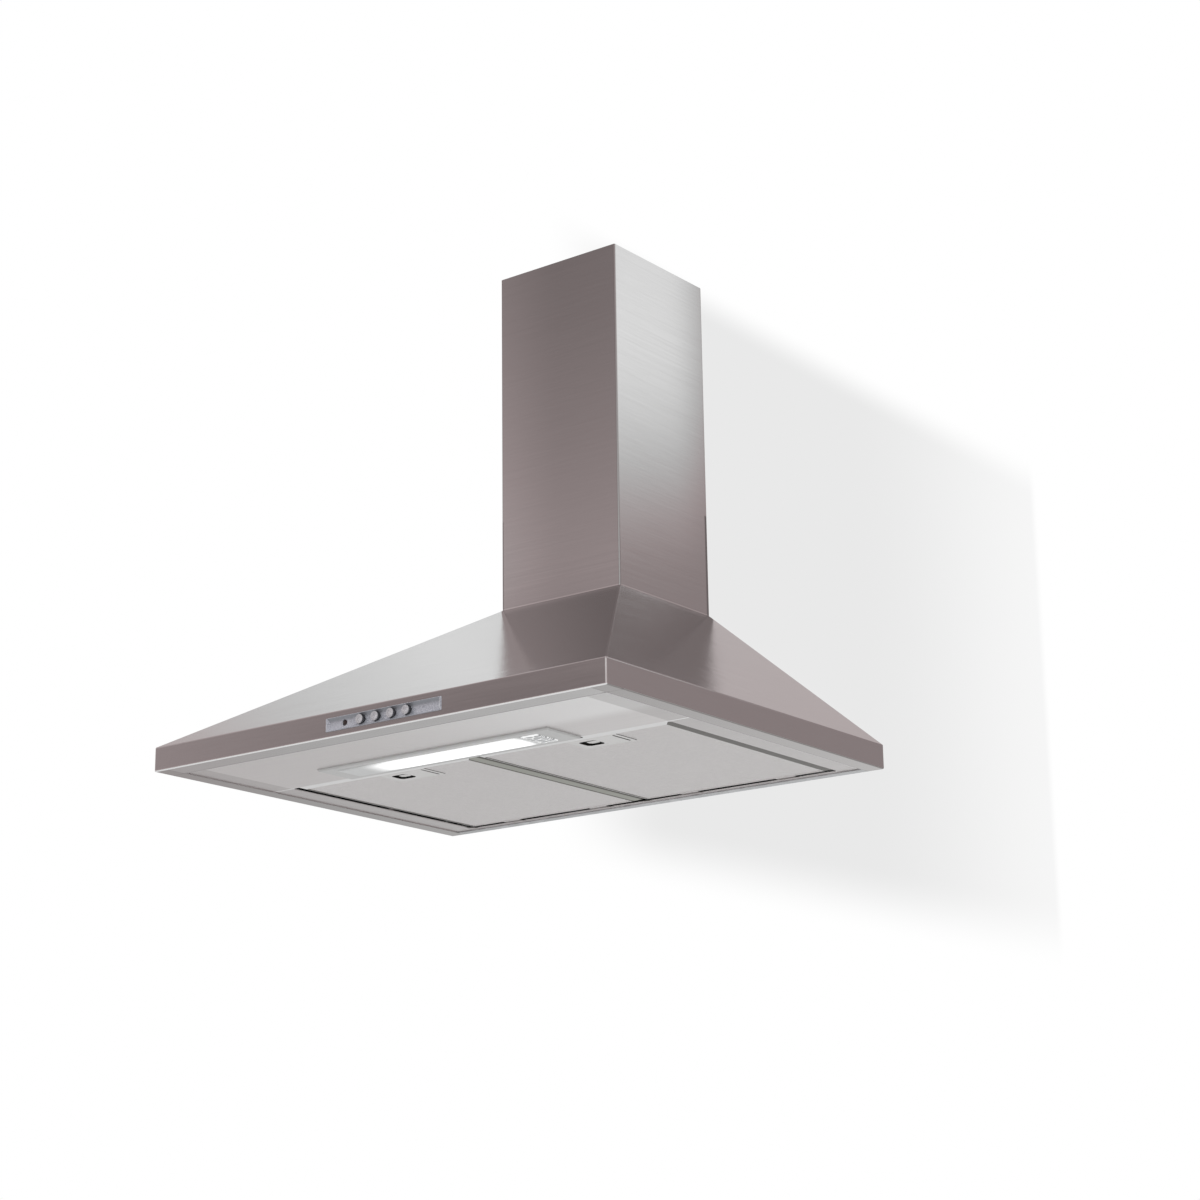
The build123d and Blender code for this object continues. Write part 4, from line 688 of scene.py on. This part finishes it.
def makeWheel(s):
    mesh = bmesh.new()
    root, rim, hub, bore, start, end = (s[key] for key in ("root", "radius", "hub", "bore", "hubFrom", "hubTo"))
    centre = (0, s["axisY"], s["axisZ"])
    for side in (-1, 1):
        outerFace = side * s["half"]
        innerFace = side * (s["half"] - s["ring"])
        profile = [(root, outerFace), (rim - 0.0006, outerFace), (rim, outerFace - side * 0.0005),
                   (rim, innerFace), (root, innerFace), (root, outerFace)]
        addMesh(mesh, turned(profile, "X", centre, 80))
    d = s["disc"] / 2
    profile = [(bore, start), (hub, start), (hub, -d), (root + 0.0015, -d), (root + 0.0015, d), (hub, d),
               (hub, end - 0.0008), (hub - 0.0008, end), (bore, end), (bore, start)]
    addMesh(mesh, turned(profile, "X", centre))
    length = 2 * (s["half"] - s["ring"]) + 0.001  # the blades end inside the rings
    places = [(root + 0.0004, 0.0), ((root * 2 + rim) / 3, s["sweep"] * 0.26 - s["bow"] * 0.8),
              ((root + rim * 2) / 3, s["sweep"] * 0.58 - s["bow"] * 0.8), (rim - 0.0005, s["sweep"])]
    for index in range(s["blades"]):
        blade = bmesh.new()
        verts = []
        for radius, angle in places:
            way = math.radians(angle + 360 * index / s["blades"])
            verts.append(blade.verts.new((-length / 2, s["axisY"] + radius * math.cos(way),
                                          s["axisZ"] + radius * math.sin(way))))
        edges = [blade.edges.new(pair) for pair in zip(verts, verts[1:])]
        raised = bmesh.ops.extrude_edge_only(blade, edges=edges)
        moved = [item for item in raised["geom"] if isinstance(item, bmesh.types.BMVert)]
        bmesh.ops.translate(blade, verts=moved, vec=(length, 0, 0))
        bmesh.ops.recalc_face_normals(blade, faces=blade.faces)
        bmesh.ops.solidify(blade, geom=blade.faces[:], thickness=s["sheet"])
        bmesh.ops.recalc_face_normals(blade, faces=blade.faces)
        addMesh(mesh, blade)
    makePiece("bladedWheel", mesh, "galvanised_sheet", "fan", "fan_wheel")


makeGuard(guard)
makeWheel(wheel)
print("screws, guard and fan wheel made")

# floor, world and lamps
floorSettings = dict(size=12.0, level=-2.6, dark=(0.86, 0.86, 0.86), light=(0.88, 0.88, 0.88))


def makeFloor(s):
    mesh = bmesh.new()
    bmesh.ops.create_grid(mesh, x_segments=1, y_segments=1, size=s["size"] / 2)
    bmesh.ops.translate(mesh, vec=(0, 0, s["level"]), verts=mesh.verts)
    floor = linked("floor", mesh)
    f = Finish("paleFloor")
    cloud = f.noise(f.place(), 2.0, 3.0)
    floor.data.materials.append(f.give(Base_Color=f.mix(cloud, s["dark"], s["light"]), Roughness=0.8))


makeFloor(floorSettings)

# the room that the metal mirrors, by direction: tones behind the hood and in front of it, from left to right
roomSettings = dict(
    behind=[(0.0, 0.50), (0.10, 0.38), (0.125, 0.60), (0.15, 0.78), (0.18, 0.64), (0.24, 0.50), (0.35, 0.42),
            (0.5, 0.24), (0.735, 0.20), (0.778, 0.98), (0.9, 1.0), (1.0, 1.0)],
    before=[(0.0, 0.50), (0.10, 0.46), (0.15, 0.31), (0.19, 0.215), (0.27, 0.25), (0.4, 0.45), (0.5, 0.5),
            (0.7, 0.48), (1.0, 0.45)],
    rise=[(0.0, 0.9), (0.20, 0.9), (0.235, 0.85), (0.285, 1.62), (0.325, 1.27), (0.385, 0.93), (0.55, 0.70),
          (1.0, 0.8)],
    under=[(0.0, 1.1), (0.18, 1.15), (0.21, 1.15), (0.26, 0.20), (0.5, 0.16), (0.7, 0.4), (1.0, 0.6)],
    lowRight=0.28, highRight=0.20, below=0.64, belowLean=1.6, belowAside=0.34, underFoot=0.85, warmth=0.155,
    warmTones=(0.36, 0.62), highBand=(0.276, 0.372), topBand=(0.41, 0.45), belowBand=(0.30, 0.50),
    footBand=(0.80, 0.95), horizon=(-0.06, 0.03), rightTurn=(0.0, 0.4), rearTurn=(-0.15, 0.15),
    leftTurn=(-0.35, 0.0), belowFrom=-0.66, ambient=0.72)
# a painted wall shade on the background beyond the hood, seen only past it: its right and left ends as bearings
# left of the wall's normal, its top and bottom as slopes, each with what it gains along the bearing
wallShadeSettings = dict(tone=0.815, rightEdge=0.468, top=(0.325, 0.6534), bottom=(0.134, 0.23), leftEnd=0.668)


def makeRoom(s, wallShade):
    f = Finish("room", world=True)
    scene.world = f.owner
    for old in list(f.tree.nodes):
        f.tree.nodes.remove(old)
    way = f.node("TexCoord", out="Generated")
    x, y, z = f.axes(way)
    flat = f.node("VectorMath", {"operation": "NORMALIZE"}, {0: f.spread(way, (1, 1, 0))})
    flatX, flatY = f.axes(flat)[:2]
    across = flatX * 0.5 + 0.5

    def tones(factor, stops):
        ramp = f.node("ValToRGB", {"stops": [(place, (tone,) * 3) for place, tone in stops]}, {"Fac": factor})
        return f.axes(ramp)[0]

    def strong(factor, stops):  # a ramp holds no tone above 1, so these go in at half
        return tones(factor, [(place, tone / 2) for place, tone in stops]) * 2.0

    right = flatX.fade(*s["rightTurn"])
    behind = tones(across, s["behind"])
    behind = behind + right * (1.0 - z.fade(*s["highBand"])) * (s["lowRight"] - behind)
    behind = behind + right * z.fade(*s["topBand"]) * (s["highRight"] - behind)
    before = tones(across, s["before"]) * strong(z, s["rise"])
    rear = flatY.fade(*s["rearTurn"])
    upper = before + rear * (behind - before)
    rearLeft = rear * (1.0 - flatX.fade(*s["leftTurn"]))
    leaning = s["below"] + (flatX - s["belowFrom"]) * s["belowLean"]
    level = s["belowAside"] + rearLeft * (leaning - s["belowAside"])
    floorTone = 1.0 + rear * (strong(across, s["under"]) - 1.0)
    floorTone = floorTone + (-z).fade(*s["footBand"]) * (s["underFoot"] - floorTone)
    lower = level + (-z).fade(*s["belowBand"]) * (floorTone - level)
    tone = lower + z.fade(*s["horizon"]) * (upper - lower)
    warm = (1.0 - tone.fade(*s["warmTones"])) * s["warmth"]  # only dark tones are warm
    mirrored = f.node("Background", None, {"Color": f.node("CombineXYZ", None, {
        0: tone * (1.0 + warm), 1: tone * (1.0 - warm * 0.25), 2: tone * (1.0 - warm * 0.25)})})
    # the painted wall shade, and which rays see what
    bearing = f.node("Math", {"operation": "ARCTAN2"}, {0: -x, 1: y})
    slope = z / f.node("VectorMath", {"operation": "LENGTH"}, {0: f.spread(way, (1, 1, 0))}, out=1)
    fromRight = bearing - wallShade["rightEdge"]
    inWallShade = (fromRight.fade(-0.001, 0.002)
              * (1.0 - (slope - wallShade["top"][0] - fromRight * wallShade["top"][1]).fade(-0.006, 0.012))
              * (slope - wallShade["bottom"][0] - fromRight * wallShade["bottom"][1]).fade(-0.006, 0.022)
              * (1.0 - bearing.fade(wallShade["leftEnd"] - 0.05, wallShade["leftEnd"])))
    deep = fromRight.fade(-0.01, 0.075) * 0.6 + 0.4
    shade = 1.0 - inWallShade * deep * (1.0 - wallShade["tone"])
    seen = f.node("Background", None, {"Color": f.node("CombineXYZ", None, {0: shade, 1: shade, 2: shade})})
    white = f.node("Background", None, {"Color": (1, 1, 1)})
    soft = f.node("Background", None, {"Color": (s["ambient"],) * 3})
    path = f.node("LightPath").socket.node.outputs
    shown = f.node("MixShader", None, {0: Flow(f, path["Is Glossy Ray"]), 1: soft, 2: mirrored})
    shown = f.node("MixShader", None, {0: Flow(f, path["Is Camera Ray"]), 1: shown, 2: seen})
    shown = f.node("MixShader", None, {0: Flow(f, path["Is Transmission Ray"]), 1: shown, 2: white})
    f.node("OutputWorld", None, {"Surface": shown})


makeRoom(roomSettings, wallShadeSettings)

# dark flags beside the chimney's foot glow dim as painted reflections: seen only mirrored in the metal, they square
# off its image in the slopes from the picture's side, and show as dark corners there and on the chimney from behind
flagSettings = {
    "leftFlag": dict(tone=(0.29, 0.245, 0.245), corners=[
        (-0.0805, -0.1694, 0.052), (-0.0865, -0.1694, 0.060), (-0.129, -0.1694, 0.104), (-0.150, -0.1694, 0.128),
        (-0.150, -0.1694, 0.160), (-0.0805, -0.1694, 0.160)]),
    "rightFlag": dict(tone=(0.185, 0.156, 0.156), corners=[
        (0.0831, -0.004, 0.050), (0.0831, 0.015, 0.060), (0.0831, 0.050, 0.080), (0.0831, 0.090, 0.102),
        (0.0831, 0.132, 0.126), (0.0831, 0.165, 0.144), (0.0831, 0.165, 0.175), (0.0831, -0.004, 0.175)]),
}


def makeFlag(name, s):
    mesh = bmesh.new()
    mesh.faces.new([mesh.verts.new(corner) for corner in s["corners"]])
    flag = linked(name, mesh)
    f = Finish(name)
    shadeNoise = f.noise(f.place(), 300.0, 2.0)
    mirroredShade = f.mix(shadeNoise, s["tone"], [part * 1.04 for part in s["tone"]])
    flag.data.materials.append(f.give(Base_Color=(0, 0, 0), Roughness=1.0, Emission_Color=mirroredShade,
                                      Emission_Strength=1.0))
    f.put(f.shader.inputs["Specular IOR Level"], 0.0)
    for ray in ("camera", "diffuse", "transmission", "volume_scatter", "shadow"):
        setattr(flag, "visible_" + ray, False)


for name, s in flagSettings.items():
    makeFlag(name, s)

softLamps = {
    "keyLamp": dict(place=(-1.6, -1.9, 1.9), aim=(0, -0.2, 0.1), size=1.6, power=22),
    "fillLamp": dict(place=(1.9, -1.4, 1.2), aim=(0, -0.2, 0.1), size=1.6, power=14),
}
for name, s in softLamps.items():
    data = bpy.data.lights.new(name, "AREA")
    data.shape, data.size, data.energy = "DISK", s["size"], s["power"]
    lamp = bpy.data.objects.new(name, data)
    lamp.location = s["place"]
    lamp.rotation_mode = "QUATERNION"
    lamp.rotation_quaternion = (Vector(s["place"]) - Vector(s["aim"])).to_track_quat("Z", "Y")
    lamp.visible_glossy = False
    scene.collection.objects.link(lamp)
print("floor, room and lamps set")
